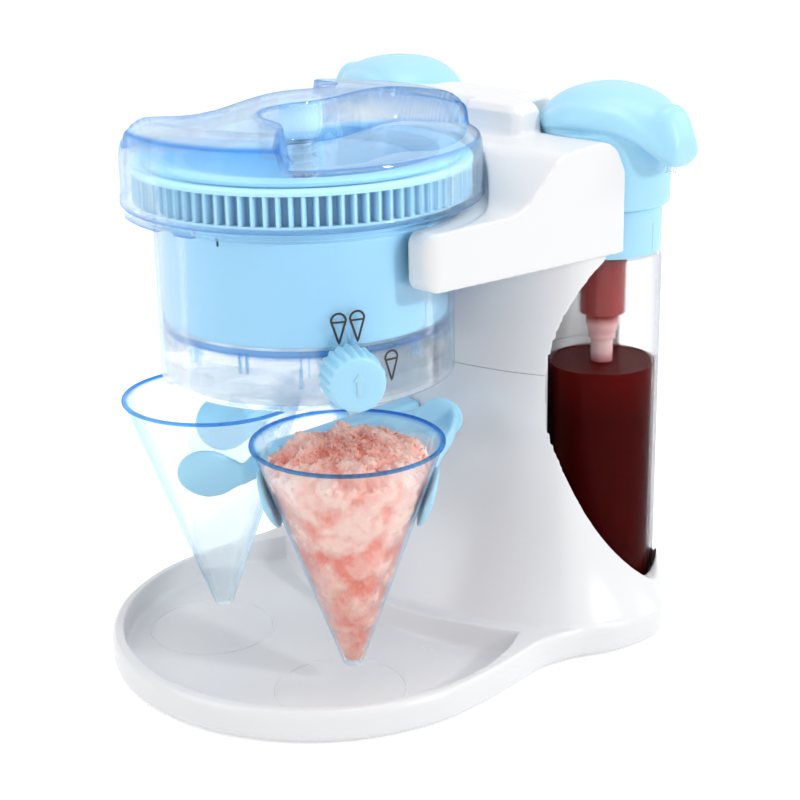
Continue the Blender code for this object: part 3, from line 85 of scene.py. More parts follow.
def put_in_scene(name, mesh):
    """Link a new object at the origin that holds the mesh, shaded smooth with sharp creases kept."""
    mesh.shade_smooth()
    mesh.set_sharp_from_angle(angle=math.radians(38))
    piece = bpy.data.objects.new(name, mesh)
    bpy.context.scene.collection.objects.link(piece)
    return piece


def clean(mesh, weld=1e-7):
    """Merge doubled points, drop faces that have shrunk to nothing and turn the rest outwards."""
    shape = bmesh.new()
    shape.from_mesh(mesh)
    bmesh.ops.remove_doubles(shape, verts=shape.verts, dist=weld)
    bmesh.ops.dissolve_degenerate(shape, edges=shape.edges, dist=1e-8)
    bmesh.ops.recalc_face_normals(shape, faces=shape.faces)
    shape.to_mesh(mesh)
    shape.free()


def grid_faces(rows, columns, loop_rows, start=0):
    """Corner numbers of the faces between neighbours on a grid whose columns run round in a ring."""
    index = start + np.arange(rows * columns).reshape(rows, columns)
    if loop_rows:
        index = np.concatenate([index, index[:1]])
    a, b = index[:-1], index[1:]
    return np.stack([a, np.roll(a, -1, 1), np.roll(b, -1, 1), b], axis=-1).reshape(-1, 4)


def ring_surface(name, grid, loop_rows=False, shift=AXIS):
    """Mesh from a (rows, columns, 3) grid: columns close on themselves, and rows too where asked."""
    grid = np.asarray(grid, float) + shift
    rows, columns = grid.shape[:2]
    faces = grid_faces(rows, columns, loop_rows).tolist()
    mesh = bpy.data.meshes.new(name)
    mesh.from_pydata(grid.reshape(-1, 3).tolist(), [], faces)
    if not loop_rows:
        lid_faces = [list(range(columns)), list(range((rows - 1) * columns, rows * columns))]
        flat = [np.ptp(grid[row], axis=0).max() > 1e-6 for row in (0, -1)]
        shape = bmesh.new()
        shape.from_mesh(mesh)
        shape.verts.ensure_lookup_table()
        for corners, wanted in zip(lid_faces, flat):
            if wanted:
                shape.faces.new([shape.verts[i] for i in corners])
        shape.to_mesh(mesh)
        shape.free()
    clean(mesh)
    return put_in_scene(name, mesh)


def turned_grid(profile, columns=192, ripple=None):
    """Points of a turned shape: (radius, height) pairs carried round the axis in equal steps.

    ripple, where given, is a function of (radius, height, angle) that returns a new radius.
    """
    profile = np.asarray(profile, float)
    angle = np.linspace(0, 2 * np.pi, columns, endpoint=False)
    radius = np.repeat(profile[:, :1], columns, axis=1)
    height = np.repeat(profile[:, 1:], columns, axis=1)
    if ripple is not None:
        radius = ripple(radius, height, angle[None, :])
    return np.stack([radius * np.cos(angle), radius * np.sin(angle), height], axis=-1)


def turned(name, profile, columns=192, loop_rows=True, centre=(0.0, 0.0), ripple=None):
    """Turned piece about an upright axis through centre, given in the drum's own plan."""
    grid = turned_grid(profile, columns, ripple)
    return ring_surface(name, grid, loop_rows, AXIS + np.array([centre[0], centre[1], 0.0]))


# %% [markdown]
# Moulded plastic has no sharp corner. A turned profile is easier to write with sharp corners, so a second helper
# rounds each one: it walks along the corner's two sides and bends between them on a small curve. The corner
# lists stay short and readable, and each radius stands beside its corner.

# %% Rounding a profile's corners


def rounded(corners, steps=6, closed=True):
    """Curve through (a, b, radius) corners, each replaced by a parabola that touches both sides.

    A point on it is (1-s)^2 P + 2s(1-s) Q + s^2 R, where Q is the corner and P, R lie on its two sides.
    """
    corners = np.asarray(corners, float)
    count = len(corners)
    share = np.linspace(0, 1, steps + 1)[:, None]
    curve = []
    for i, (x, y, radius) in enumerate(corners):
        here = np.array([x, y])
        if radius <= 0 or (not closed and i in (0, count - 1)):
            curve.append(here[None])
            continue
        before, after = corners[i - 1][:2] - here, corners[(i + 1) % count][:2] - here
        long_before, long_after = np.linalg.norm(before), np.linalg.norm(after)
        before, after = before / long_before, after / long_after
        half = math.acos(float(np.clip(before @ after, -1, 1))) / 2
        reach = min(radius / max(math.tan(half), 1e-6), 0.49 * long_before, 0.49 * long_after)
        start, end = here + before * reach, here + after * reach
        curve.append((1 - share) ** 2 * start + 2 * share * (1 - share) * here + share ** 2 * end)
    return np.concatenate(curve)


def smooth_outline(points, samples):
    """Closed Hermite curve through the points, with tangents (next - previous) / 2."""
    points = np.asarray(points, float)
    share = np.linspace(0, 1, samples, endpoint=False)[:, None]
    spans = []
    for i in range(len(points)):
        a, b = points[i - 1], points[i]
        c, d = points[(i + 1) % len(points)], points[(i + 2) % len(points)]
        t1, t2 = (c - a) / 2, (d - b) / 2
        spans.append((2 * share ** 3 - 3 * share ** 2 + 1) * b + (share ** 3 - 2 * share ** 2 + share) * t1
                     + (-2 * share ** 3 + 3 * share ** 2) * c + (share ** 3 - share ** 2) * t2)
    return np.concatenate(spans)


def mirrored(right, front, rear, samples):
    """Closed outline from its right half and its two points on the middle line."""
    left = [(-x, y) for x, y in right[::-1]]
    return smooth_outline([front] + list(right) + [rear] + left, samples)


def at_height(outline, height):
    """The outline lifted to one height, as a row of the grid."""
    return np.column_stack([outline, np.full(len(outline), height)])


print("helpers are ready")

# %% [markdown]
# The photograph was taken from the front right, a little above the lid, with a long lens. The circles of the lid,
# the cones and the tray fix that view: they turn into ellipses in only one way. The camera stands 0.82 m from a
# point inside the machine, turned 46 degrees to the right of the front and 18.8 degrees up, and leans 1 degree.

# %% The camera
VIEW_TURN, VIEW_RISE, VIEW_LEAN = math.radians(46), math.radians(18.8), math.radians(-1.0)
VIEW_DISTANCE, VIEW_SIDE, VIEW_HEIGHT = 0.820, 0.041, 0.1225
LENS_MM = 81.0

right = np.array([math.cos(VIEW_TURN), math.sin(VIEW_TURN), 0.0])
back = np.array([math.sin(VIEW_TURN) * math.cos(VIEW_RISE), -math.cos(VIEW_TURN) * math.cos(VIEW_RISE),
                 math.sin(VIEW_RISE)])
upward = np.cross(back, right)
aim = AXIS + right * VIEW_SIDE + np.array([0, 0, VIEW_HEIGHT])
leaning_right = right * math.cos(VIEW_LEAN) + upward * math.sin(VIEW_LEAN)
leaning_up = -right * math.sin(VIEW_LEAN) + upward * math.cos(VIEW_LEAN)

camera_data = bpy.data.cameras.new("photo_camera")
camera_data.lens = LENS_MM
camera_data.sensor_width = 36.0
camera = bpy.data.objects.new("photo_camera", camera_data)
bpy.context.scene.collection.objects.link(camera)
turn = np.eye(4)
turn[:3, 0], turn[:3, 1], turn[:3, 2], turn[:3, 3] = leaning_right, leaning_up, back, aim + back * VIEW_DISTANCE
camera.matrix_world = Matrix(turn.tolist())
bpy.context.scene.camera = camera
bpy.context.scene.view_settings.view_transform = "Standard"
print("camera at", np.round(aim + back * VIEW_DISTANCE, 3))

# %% [markdown]
# A product studio is a white room with soft lamps. The world gives an even base light. A smaller and harder lamp
# stands low on the right: it throws the arm's shadow on the drum. A weaker one on the left keeps the shaded side
# open, one above lights the lid, and one behind draws a bright edge. The backdrop is plain white where the
# camera, a reflection or a clear piece sees it, so the light on the machine stays moderate.

# %% The studio
WORLD_LEVEL = 0.60


def area_lamp(name, place, target, size, watts):
    """Square soft lamp that looks at a point."""
    data = bpy.data.lights.new(name, "AREA")
    data.shape = "SQUARE"
    data.size = size
    data.energy = watts
    lamp = bpy.data.objects.new(name, data)
    lamp.location = place
    lamp.rotation_euler = (Vector(target) - Vector(place)).to_track_quat("-Z", "Y").to_euler()
    bpy.context.scene.collection.objects.link(lamp)
    return lamp


middle = tuple(AXIS + np.array([0.0, 0.05, 0.14]))
area_lamp("key_lamp", (1.22, 0.26, 0.72), middle, 0.12, 4.5)
area_lamp("fill_lamp", (-0.35, -1.20, 0.60), middle, 0.80, 3.6)
area_lamp("top_lamp", (0.10, 0.05, 1.30), middle, 0.70, 4.2)
area_lamp("rear_lamp", (0.75, 0.95, 0.75), middle, 0.40, 2.2)

world = bpy.data.worlds.new("white_room")
bpy.context.scene.world = world
world.use_nodes = True
nodes, links = world.node_tree.nodes, world.node_tree.links
nodes.clear()
path = nodes.new("ShaderNodeLightPath")
seen = nodes.new("ShaderNodeMath")
seen.operation = "MAXIMUM"
seen_more = nodes.new("ShaderNodeMath")
seen_more.operation = "MAXIMUM"
level = nodes.new("ShaderNodeMapRange")
level.inputs["To Min"].default_value = WORLD_LEVEL
level.inputs["To Max"].default_value = 1.0
background = nodes.new("ShaderNodeBackground")
background.inputs["Color"].default_value = (1, 1, 1, 1)
output = nodes.new("ShaderNodeOutputWorld")
links.new(path.outputs["Is Camera Ray"], seen.inputs[0])
links.new(path.outputs["Is Glossy Ray"], seen.inputs[1])
links.new(seen.outputs[0], seen_more.inputs[0])
links.new(path.outputs["Is Transmission Ray"], seen_more.inputs[1])
links.new(seen_more.outputs[0], level.inputs["Value"])
links.new(level.outputs["Result"], background.inputs["Strength"])
links.new(background.outputs["Background"], output.inputs["Surface"])

floor_mesh = bpy.data.meshes.new("floor")
reach = 6.0
floor_mesh.from_pydata([(-reach, -reach, 0), (reach, -reach, 0), (reach, reach, 0), (-reach, reach, 0)], [],
                       [(0, 1, 2, 3)])
floor = bpy.data.objects.new("floor", floor_mesh)
floor.location.z = -0.0002
bpy.context.scene.collection.objects.link(floor)
print("four lamps and a floor")

# %% [markdown]
# The floor is matt white paper. Paper that is only lit looks grey beside a backdrop of pure white, so its
# material mixes a little light of its own for rays that the camera, a reflection or a clear piece sends. The
# machine's soft shadow still shows, because the lit part of the mix keeps it.

# %% The floor's paper
paper = bpy.data.materials.new("studio_paper")
paper.use_nodes = True
nodes, links = paper.node_tree.nodes, paper.node_tree.links
nodes.clear()
path = nodes.new("ShaderNodeLightPath")
seen = nodes.new("ShaderNodeMath")
seen.operation = "MAXIMUM"
seen_more = nodes.new("ShaderNodeMath")
seen_more.operation = "MAXIMUM"
lit = nodes.new("ShaderNodeBsdfDiffuse")
lit.inputs["Color"].default_value = (0.95, 0.95, 0.95, 1)
glow = nodes.new("ShaderNodeEmission")
glow.inputs["Color"].default_value = (1, 1, 1, 1)
glow.inputs["Strength"].default_value = 0.46
half = nodes.new("ShaderNodeAddShader")
pick = nodes.new("ShaderNodeMixShader")
output = nodes.new("ShaderNodeOutputMaterial")
links.new(path.outputs["Is Camera Ray"], seen.inputs[0])
links.new(path.outputs["Is Glossy Ray"], seen.inputs[1])
links.new(seen.outputs[0], seen_more.inputs[0])
links.new(path.outputs["Is Transmission Ray"], seen_more.inputs[1])
links.new(lit.outputs["BSDF"], half.inputs[0])
links.new(glow.outputs["Emission"], half.inputs[1])
links.new(seen_more.outputs[0], pick.inputs["Fac"])
links.new(lit.outputs["BSDF"], pick.inputs[1])
links.new(half.outputs["Shader"], pick.inputs[2])
links.new(pick.outputs["Shader"], output.inputs["Surface"])
floor_mesh.materials.append(paper)
print("floor is papered")

# %% [markdown]
# Injection-moulded plastic isn't one flat colour. Its colour drifts a little over a hand's width, its gloss
# changes where it has been handled, and its skin has a very fine orange-peel grain. One node group gives these
# three effects with named inputs, and the white, blue and rubber materials each use it with their own values.
# It also multiplies in a Shade colour where a piece stores painted_gap_shade, which is painted shade.

# %% A node group for moulded plastic


def new_group(name, inputs, outputs):
    """Empty shader node group with the named (kind, default) inputs and (kind) outputs."""
    tree = bpy.data.node_groups.new(name, "ShaderNodeTree")
    for label, (kind, value) in inputs.items():
        socket = tree.interface.new_socket(name=label, in_out="INPUT", socket_type=kind)
        socket.default_value = value
    for label, kind in outputs.items():
        tree.interface.new_socket(name=label, in_out="OUTPUT", socket_type=kind)
    return tree, tree.nodes.new("NodeGroupInput"), tree.nodes.new("NodeGroupOutput")


def add_math(tree, operation, first, second):
    """Math node whose two inputs are sockets or plain numbers; returns its output."""
    node = tree.nodes.new("ShaderNodeMath")
    node.operation = operation
    for slot, value in enumerate((first, second)):
        if isinstance(value, (int, float)):
            node.inputs[slot].default_value = value
        else:
            tree.links.new(value, node.inputs[slot])
    return node.outputs[0]


def add_noise(tree, scale, detail=2.0):
    """Noise over object coordinates at a scale in features per metre; returns its value from 0 to 1."""
    place = tree.nodes.new("ShaderNodeTexCoord")
    noise = tree.nodes.new("ShaderNodeTexNoise")
    noise.inputs["Detail"].default_value = detail
    if isinstance(scale, (int, float)):
        noise.inputs["Scale"].default_value = scale
    else:
        tree.links.new(scale, noise.inputs["Scale"])
    tree.links.new(place.outputs["Object"], noise.inputs["Vector"])
    return noise.outputs["Fac"]


FLOAT, COLOUR, VECTOR = "NodeSocketFloat", "NodeSocketColor", "NodeSocketVector"
skin, enter, leave = new_group(
    "moulded_skin",
    {"Colour": (COLOUR, (0.8, 0.8, 0.8, 1)), "Shade": (COLOUR, (1.0, 1.0, 1.0, 1)), "Drift": (FLOAT, 0.02),
     "Roughness": (FLOAT, 0.3),
     "Handling": (FLOAT, 0.05), "Grain": (FLOAT, 900.0), "Relief": (FLOAT, 0.1)},
    {"Colour": COLOUR, "Roughness": FLOAT, "Normal": VECTOR})
broad = add_noise(skin, 9.0)
swing = add_math(skin, "SUBTRACT", broad, 0.5)
gain = add_math(skin, "ADD", add_math(skin, "MULTIPLY", swing, enter.outputs["Drift"]), 1.0)
tint = skin.nodes.new("ShaderNodeVectorMath")
tint.operation = "SCALE"
# Painted shade: the Shade colour is multiplied in where a piece stores painted_gap_shade, as in the ring's rib gaps.
painted_gap_shade = skin.nodes.new("ShaderNodeAttribute")
painted_gap_shade.attribute_name = "painted_gap_shade"
shaded = skin.nodes.new("ShaderNodeMix")
shaded.data_type = "RGBA"
shaded.blend_type = "MULTIPLY"
skin.links.new(painted_gap_shade.outputs["Fac"], shaded.inputs["Factor"])
skin.links.new(enter.outputs["Colour"], shaded.inputs["A"])
skin.links.new(enter.outputs["Shade"], shaded.inputs["B"])
skin.links.new(shaded.outputs["Result"], tint.inputs[0])
skin.links.new(gain, tint.inputs["Scale"])
skin.links.new(tint.outputs["Vector"], leave.inputs["Colour"])
touched = add_math(skin, "MULTIPLY", add_math(skin, "SUBTRACT", add_noise(skin, 34.0, 4.0), 0.5),
                   enter.outputs["Handling"])
skin.links.new(add_math(skin, "ADD", touched, enter.outputs["Roughness"]), leave.inputs["Roughness"])
bump = skin.nodes.new("ShaderNodeBump")
bump.inputs["Distance"].default_value = 0.00002
skin.links.new(enter.outputs["Relief"], bump.inputs["Strength"])
skin.links.new(add_noise(skin, enter.outputs["Grain"]), bump.inputs["Height"])
skin.links.new(bump.outputs["Normal"], leave.inputs["Normal"])
print("group", skin.name, "has", len(skin.nodes), "nodes")

# %% [markdown]
# The solid plastics come from that one group. White is glossy and almost neutral, the sky blue is softer and
# lets a little light into itself, as thin coloured plastic does, and rubber is dark and matt. Subsurface
# scattering gives that inner glow without making the plastic see-through.

# %% The solid plastics


def moulded(name, colour, roughness, drift=0.02, handling=0.06, grain=900.0, relief=0.25, scatter=0.0,
            reach=0.003, coat=0.0, shade=(1.0, 1.0, 1.0)):
    """Principled material fed by the moulded_skin group."""
    material = bpy.data.materials.new(name)
    material.use_nodes = True
    tree = material.node_tree
    shader = tree.nodes["Principled BSDF"]
    group = tree.nodes.new("ShaderNodeGroup")
    group.node_tree = skin
    for label, value in (("Colour", (*colour, 1)), ("Shade", (*shade, 1)), ("Drift", drift),
                         ("Roughness", roughness), ("Handling", handling), ("Grain", grain), ("Relief", relief)):
        group.inputs[label].default_value = value
    tree.links.new(group.outputs["Colour"], shader.inputs["Base Color"])
    tree.links.new(group.outputs["Roughness"], shader.inputs["Roughness"])
    tree.links.new(group.outputs["Normal"], shader.inputs["Normal"])
    shader.inputs["IOR"].default_value = 1.5
    shader.inputs["Subsurface Weight"].default_value = scatter
    shader.inputs["Subsurface Radius"].default_value = (0.6, 0.9, 1.0)
    shader.inputs["Subsurface Scale"].default_value = reach
    shader.inputs["Coat Weight"].default_value = coat
    shader.inputs["Coat Roughness"].default_value = 0.08
    return material


WHITE = moulded("white_gloss", (0.835, 0.84, 0.855), 0.26, drift=0.012, relief=0.18)
SKY = moulded("sky_blue", (0.41, 0.75, 0.97), 0.38, scatter=0.25, reach=0.004)
# Painted shade: the drum takes a darker copy of the sky blue, for the shade it sits in under the lid.
DRUM_BLUE = moulded("drum_blue", (0.28, 0.57, 0.80), 0.42)
# The rib finish's shade colour is painted shade in the gaps between the ribs.
RIB_BLUE = moulded("rib_blue", (0.42, 0.74, 0.93), 0.40, shade=(0.22, 0.42, 0.56))
# A paler copy of the sky blue; on the pusher it is painted light that lifts the shade under the lid.
PALE_BLUE = moulded("pale_blue", (0.60, 0.83, 0.97), 0.40, scatter=0.2, reach=0.003)
RUBBER = moulded("dark_rubber", (0.06, 0.06, 0.065), 0.80, drift=0.15, relief=0.8)
INK = moulded("black_print", (0.015, 0.015, 0.018), 0.45, relief=0.1)
print("seven solid finishes")

# %% [markdown]
# Clear polystyrene is what the lid, the housing, the cones and the bottles are made of. Its faint blue shows only
# where light travels a long way inside it, so a surface seen face on is nearly clear and one seen edge on is
# deep blue. The material mixes those two tints by the angle of view. It bends light a little and shines like
# polished plastic, and part of the light goes straight through, which keeps thin walls open. Shadow rays pass
# through a transparent shader, since a path tracer would otherwise draw black shadows inside the clear pieces.
# Rims and steps gather even more blue, so a piece can also carry a number, edge_blue, that adds it there.

# %% A node group for clear plastic's skin
haze, enter, leave = new_group(
    "clear_skin",
    {"Roughness": (FLOAT, 0.02), "Smears": (FLOAT, 0.04), "Ripple": (FLOAT, 60.0), "Relief": (FLOAT, 0.1)},
    {"Roughness": FLOAT, "Normal": VECTOR})
smears = add_math(haze, "MULTIPLY", add_math(haze, "MAXIMUM", add_math(
    haze, "SUBTRACT", add_noise(haze, 26.0, 5.0), 0.52), 0.0), enter.outputs["Smears"])
haze.links.new(add_math(haze, "ADD", smears, enter.outputs["Roughness"]), leave.inputs["Roughness"])
bump = haze.nodes.new("ShaderNodeBump")
bump.inputs["Distance"].default_value = 0.0002
haze.links.new(enter.outputs["Relief"], bump.inputs["Strength"])
haze.links.new(add_noise(haze, enter.outputs["Ripple"], 1.0), bump.inputs["Height"])
haze.links.new(bump.outputs["Normal"], leave.inputs["Normal"])


def clear_plastic(name, face_tint, edge_tint, edge_power=2.5, roughness=0.02, see_through=0.30, ior=1.17,
                  ripple=60.0, relief=0.06, smears=0.10, coat=0.8, deep_tint=(0.02, 0.33, 0.80)):
    """Clear material: tint mixed from face to edge by (angle of view) ** edge_power, and to deep by edge_blue."""
    material = bpy.data.materials.new(name)
    material.use_nodes = True
    tree = material.node_tree
    shader, output = tree.nodes["Principled BSDF"], tree.nodes["Material Output"]
    group = tree.nodes.new("ShaderNodeGroup")
    group.node_tree = haze
    for label, value in (("Roughness", roughness), ("Smears", smears), ("Ripple", ripple), ("Relief", relief)):
        group.inputs[label].default_value = value
    tree.links.new(group.outputs["Roughness"], shader.inputs["Roughness"])
    tree.links.new(group.outputs["Normal"], shader.inputs["Normal"])
    edge_on = tree.nodes.new("ShaderNodeLayerWeight")
    edge_on.inputs["Blend"].default_value = 0.5
    gathered = tree.nodes.new("ShaderNodeAttribute")
    gathered.attribute_name = "edge_blue"
    angled = tree.nodes.new("ShaderNodeMix")
    angled.data_type = "RGBA"
    angled.inputs["A"].default_value = (*face_tint, 1)
    angled.inputs["B"].default_value = (*edge_tint, 1)
    tree.links.new(add_math(tree, "POWER", edge_on.outputs["Facing"], edge_power), angled.inputs["Factor"])
    tint = tree.nodes.new("ShaderNodeMix")
    tint.data_type = "RGBA"
    tint.inputs["B"].default_value = (*deep_tint, 1)
    tree.links.new(angled.outputs["Result"], tint.inputs["A"])
    tree.links.new(gathered.outputs["Fac"], tint.inputs["Factor"])
    tree.links.new(tint.outputs["Result"], shader.inputs["Base Color"])
    shader.inputs["Transmission Weight"].default_value = 1.0
    shader.inputs["IOR"].default_value = ior
    shader.inputs["Coat Weight"].default_value = coat
    shader.inputs["Coat Roughness"].default_value = 0.03
    straight = tree.nodes.new("ShaderNodeBsdfTransparent")
    tree.links.new(tint.outputs["Result"], straight.inputs["Color"])
    clear_mix = tree.nodes.new("ShaderNodeMixShader")
    clear_mix.inputs["Fac"].default_value = see_through
    tree.links.new(shader.outputs["BSDF"], clear_mix.inputs[1])
    tree.links.new(straight.outputs["BSDF"], clear_mix.inputs[2])
    shadow = tree.nodes.new("ShaderNodeBsdfTransparent")
    shadow.inputs["Color"].default_value = (0.975, 0.988, 0.997, 1)
    path = tree.nodes.new("ShaderNodeLightPath")
    mix = tree.nodes.new("ShaderNodeMixShader")
    tree.links.new(path.outputs["Is Shadow Ray"], mix.inputs["Fac"])
    tree.links.new(clear_mix.outputs["Shader"], mix.inputs[1])
    tree.links.new(shadow.outputs["BSDF"], mix.inputs[2])
    tree.links.new(mix.outputs["Shader"], output.inputs["Surface"])
    return material


BLUE_CLEAR = clear_plastic("blue_clear", (0.985, 0.996, 1.0), (0.22, 0.56, 0.85), 8.0,
                           see_through=0.55)
CONE_CLEAR = clear_plastic("cone_clear", (0.95, 0.985, 1.0), (0.22, 0.62, 0.90), 5.0, roughness=0.03,
                           see_through=0.55)
RIM_BLUE = clear_plastic("rim_blue", (0.60, 0.84, 0.98), (0.06, 0.40, 0.86), 1.4)
CLEAR = clear_plastic("bottle_clear", (0.955, 0.955, 0.955), (0.60, 0.63, 0.68), 3.0,
                      see_through=0.60, ior=1.05, coat=0.03)
MILKY = clear_plastic("milky_blue", (0.985, 0.993, 1.0), (0.80, 0.90, 0.98), 4.0,
                      roughness=0.25, see_through=0.55)


def store_share(piece, label, share_of):
    """Store a number from 0 to 1 on the piece's points: share_of gets (count, 3) points in the drum's plan."""
    spots = np.empty(len(piece.data.vertices) * 3)
    piece.data.vertices.foreach_get("co", spots)
    values = np.clip(share_of(spots.reshape(-1, 3) - AXIS), 0, 1)
    store = piece.data.attributes.new(label, "FLOAT", "POINT")
    store.data.foreach_set("value", np.asarray(values, np.float32))


def gather_blue(piece, share_of):
    """Store edge_blue, which a clear finish reads."""
    store_share(piece, "edge_blue", share_of)


def near(values, target, reach):
    """1 at the target and fading over reach as a bell curve."""
    return np.exp(-((np.asarray(values) - target) / reach) ** 2)


print("five clear finishes")

# %% [markdown]
# Syrup, the red pump barrels and the ice need colours that change with place. One group mixes a low and a high
# colour over a height span and stirs the border with noise. The ice has a group of its own: it mixes pale crumbs
# with coral, more of it towards the cone's tip as syrup and in the crevices as painted shade, so the colour
# follows a number that each point of the heap carries.

# %% Groups for syrup and ice
blend, enter, leave = new_group(
    "height_blend",
    {"Low": (COLOUR, (0.5, 0.5, 0.5, 1)), "High": (COLOUR, (0.5, 0.5, 0.5, 1)), "From": (FLOAT, 0.1),
     "Span": (FLOAT, 0.01), "Stir": (FLOAT, 0.2)},
    {"Colour": COLOUR})
place = blend.nodes.new("ShaderNodeTexCoord")
split = blend.nodes.new("ShaderNodeSeparateXYZ")
blend.links.new(place.outputs["Object"], split.inputs["Vector"])
rise_share = add_math(blend, "DIVIDE", add_math(blend, "SUBTRACT", split.outputs["Z"], enter.outputs["From"]),
                      enter.outputs["Span"])
stirred = add_math(blend, "MULTIPLY", add_math(blend, "SUBTRACT", add_noise(blend, 120.0, 3.0), 0.5),
                   enter.outputs["Stir"])
tint = blend.nodes.new("ShaderNodeMix")
tint.data_type = "RGBA"
tint.clamp_factor = True
blend.links.new(add_math(blend, "ADD", rise_share, stirred), tint.inputs["Factor"])
blend.links.new(enter.outputs["Low"], tint.inputs["A"])
blend.links.new(enter.outputs["High"], tint.inputs["B"])
blend.links.new(tint.outputs["Result"], leave.inputs["Colour"])

frost, enter, leave = new_group(
    "crumbled_ice",
    {"Pale": (COLOUR, (0.94, 0.62, 0.53, 1)), "Syrup": (COLOUR, (0.84, 0.20, 0.13, 1))},
    {"Colour": COLOUR, "Roughness": FLOAT})
# The coral share is syrup towards the cone's tip and painted shade in the crevices.
syrup_and_shade = frost.nodes.new("ShaderNodeAttribute")
syrup_and_shade.attribute_name = "syrup_and_shade"
speck = add_math(frost, "MULTIPLY", add_math(frost, "SUBTRACT", add_noise(frost, 900.0, 3.0), 0.5), 0.7)
tint = frost.nodes.new("ShaderNodeMix")
tint.data_type = "RGBA"
tint.clamp_factor = True
frost.links.new(add_math(frost, "ADD", syrup_and_shade.outputs["Fac"], speck), tint.inputs["Factor"])
frost.links.new(enter.outputs["Pale"], tint.inputs["A"])
frost.links.new(enter.outputs["Syrup"], tint.inputs["B"])
frost.links.new(tint.outputs["Result"], leave.inputs["Colour"])
wet = add_math(frost, "SUBTRACT", 0.55, add_math(frost, "MULTIPLY", add_noise(frost, 500.0), 0.3))
frost.links.new(wet, leave.inputs["Roughness"])
print("groups", blend.name, "and", frost.name)

# %% [markdown]
# A node group that was made once can serve several materials. The syrup, the pump's barrel and the ice take
# the named inputs from a group and the rest as plain numbers.

# %% Syrup, pump barrel and ice


def grouped(name, tree_group, values, links_by_name, **constants):
    """Principled material that takes the named sockets from a group and the rest as plain numbers."""
    material = bpy.data.materials.new(name)
    material.use_nodes = True
    tree = material.node_tree
    shader = tree.nodes["Principled BSDF"]
    group = tree.nodes.new("ShaderNodeGroup")
    group.node_tree = tree_group
    for label, value in values.items():
        group.inputs[label].default_value = value
    for label, socket in links_by_name.items():
        tree.links.new(group.outputs[label], shader.inputs[socket])
    for label, value in constants.items():
        shader.inputs[label.replace("_", " ")].default_value = value
    return material


SYRUP = grouped("red_syrup", blend, {"Low": (0.040, 0.001, 0.001, 1), "High": (0.080, 0.002, 0.002, 1),
                                     "From": 0.105, "Span": 0.024, "Stir": 0.3}, {"Colour": "Base Color"},
                Roughness=0.25, Specular_IOR_Level=0.02)
BARREL = grouped("red_barrel", blend, {"Low": (0.70, 0.40, 0.40, 1), "High": (0.26, 0.022, 0.020, 1),
                                       "From": 0.1455, "Span": 0.0040, "Stir": 0.2}, {"Colour": "Base Color"},
                 Roughness=0.22, Subsurface_Weight=0.3, Subsurface_Scale=0.003)
TUBE = grouped("pale_tube", blend, {"Low": (0.30, 0.03, 0.035, 1), "High": (0.74, 0.48, 0.48, 1),
                                    "From": 0.126, "Span": 0.006, "Stir": 0.2}, {"Colour": "Base Color"},
               Roughness=0.25, Subsurface_Weight=0.2, Subsurface_Scale=0.002)
ICE = grouped("shaved_ice", frost, {}, {"Colour": "Base Color", "Roughness": "Roughness"},
              Subsurface_Weight=0.35, Subsurface_Scale=0.0016, Coat_Weight=0.15)
ICE.node_tree.nodes["Principled BSDF"].inputs["Subsurface Radius"].default_value = (1.0, 0.45, 0.35)
print("syrup, barrel, tube and ice")

# %% [markdown]
# Steel shows only in small places: the blade, the screws, the spindle and the springs. A fine stretched noise
# gives the brushed look, and it changes the roughness more than the colour, as real brushing does.

# %% Brushed steel
steel_group, enter, leave = new_group(
    "brushed_metal", {"Colour": (COLOUR, (0.6, 0.6, 0.6, 1)), "Lines": (FLOAT, 4000.0), "Roughness": (FLOAT, 0.3)},
    {"Colour": COLOUR, "Roughness": FLOAT})
lines = add_noise(steel_group, enter.outputs["Lines"], 6.0)
tint = steel_group.nodes.new("ShaderNodeVectorMath")
tint.operation = "SCALE"
steel_group.links.new(enter.outputs["Colour"], tint.inputs[0])
steel_group.links.new(add_math(steel_group, "ADD", add_math(steel_group, "MULTIPLY", lines, 0.1), 0.95),
                      tint.inputs["Scale"])
steel_group.links.new(tint.outputs["Vector"], leave.inputs["Colour"])
steel_group.links.new(add_math(steel_group, "ADD", add_math(steel_group, "MULTIPLY", lines, 0.2),
                               enter.outputs["Roughness"]), leave.inputs["Roughness"])
STEEL = bpy.data.materials.new("brushed_steel")
STEEL.use_nodes = True
group = STEEL.node_tree.nodes.new("ShaderNodeGroup")
group.node_tree = steel_group
group.inputs["Colour"].default_value = (0.62, 0.63, 0.65, 1)
group.inputs["Roughness"].default_value = 0.22
shader = STEEL.node_tree.nodes["Principled BSDF"]
shader.inputs["Metallic"].default_value = 1.0
STEEL.node_tree.links.new(group.outputs["Colour"], shader.inputs["Base Color"])
STEEL.node_tree.links.new(group.outputs["Roughness"], shader.inputs["Roughness"])
print("steel is ready")

# %% [markdown]
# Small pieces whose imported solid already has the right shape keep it. They only get the new finish in their
# material slot: the cover and its screws, the feet, the blade, the spindle and the pusher.

# %% Finishes for the pieces that keep their solid
SLOT_FINISH = {"white": WHITE, "sky": SKY, "clear_blue": BLUE_CLEAR, "clear": CLEAR, "steel": STEEL,
               "rubber": RUBBER}
slot_of = {entry["node"]: entry["material_slot"] for entry in frame["record"]["subparts"]}
# The pusher's pale blue is painted light against the shade under the lid.
OWN_FINISH = {"chute": MILKY, "diverter_flap": MILKY, "pusher": PALE_BLUE}
for name, node in NODES.items():
    node.data.materials.clear()
    node.data.materials.append(OWN_FINISH.get(name, SLOT_FINISH[slot_of[name]]))
print(len(NODES), "nodes carry a finish")


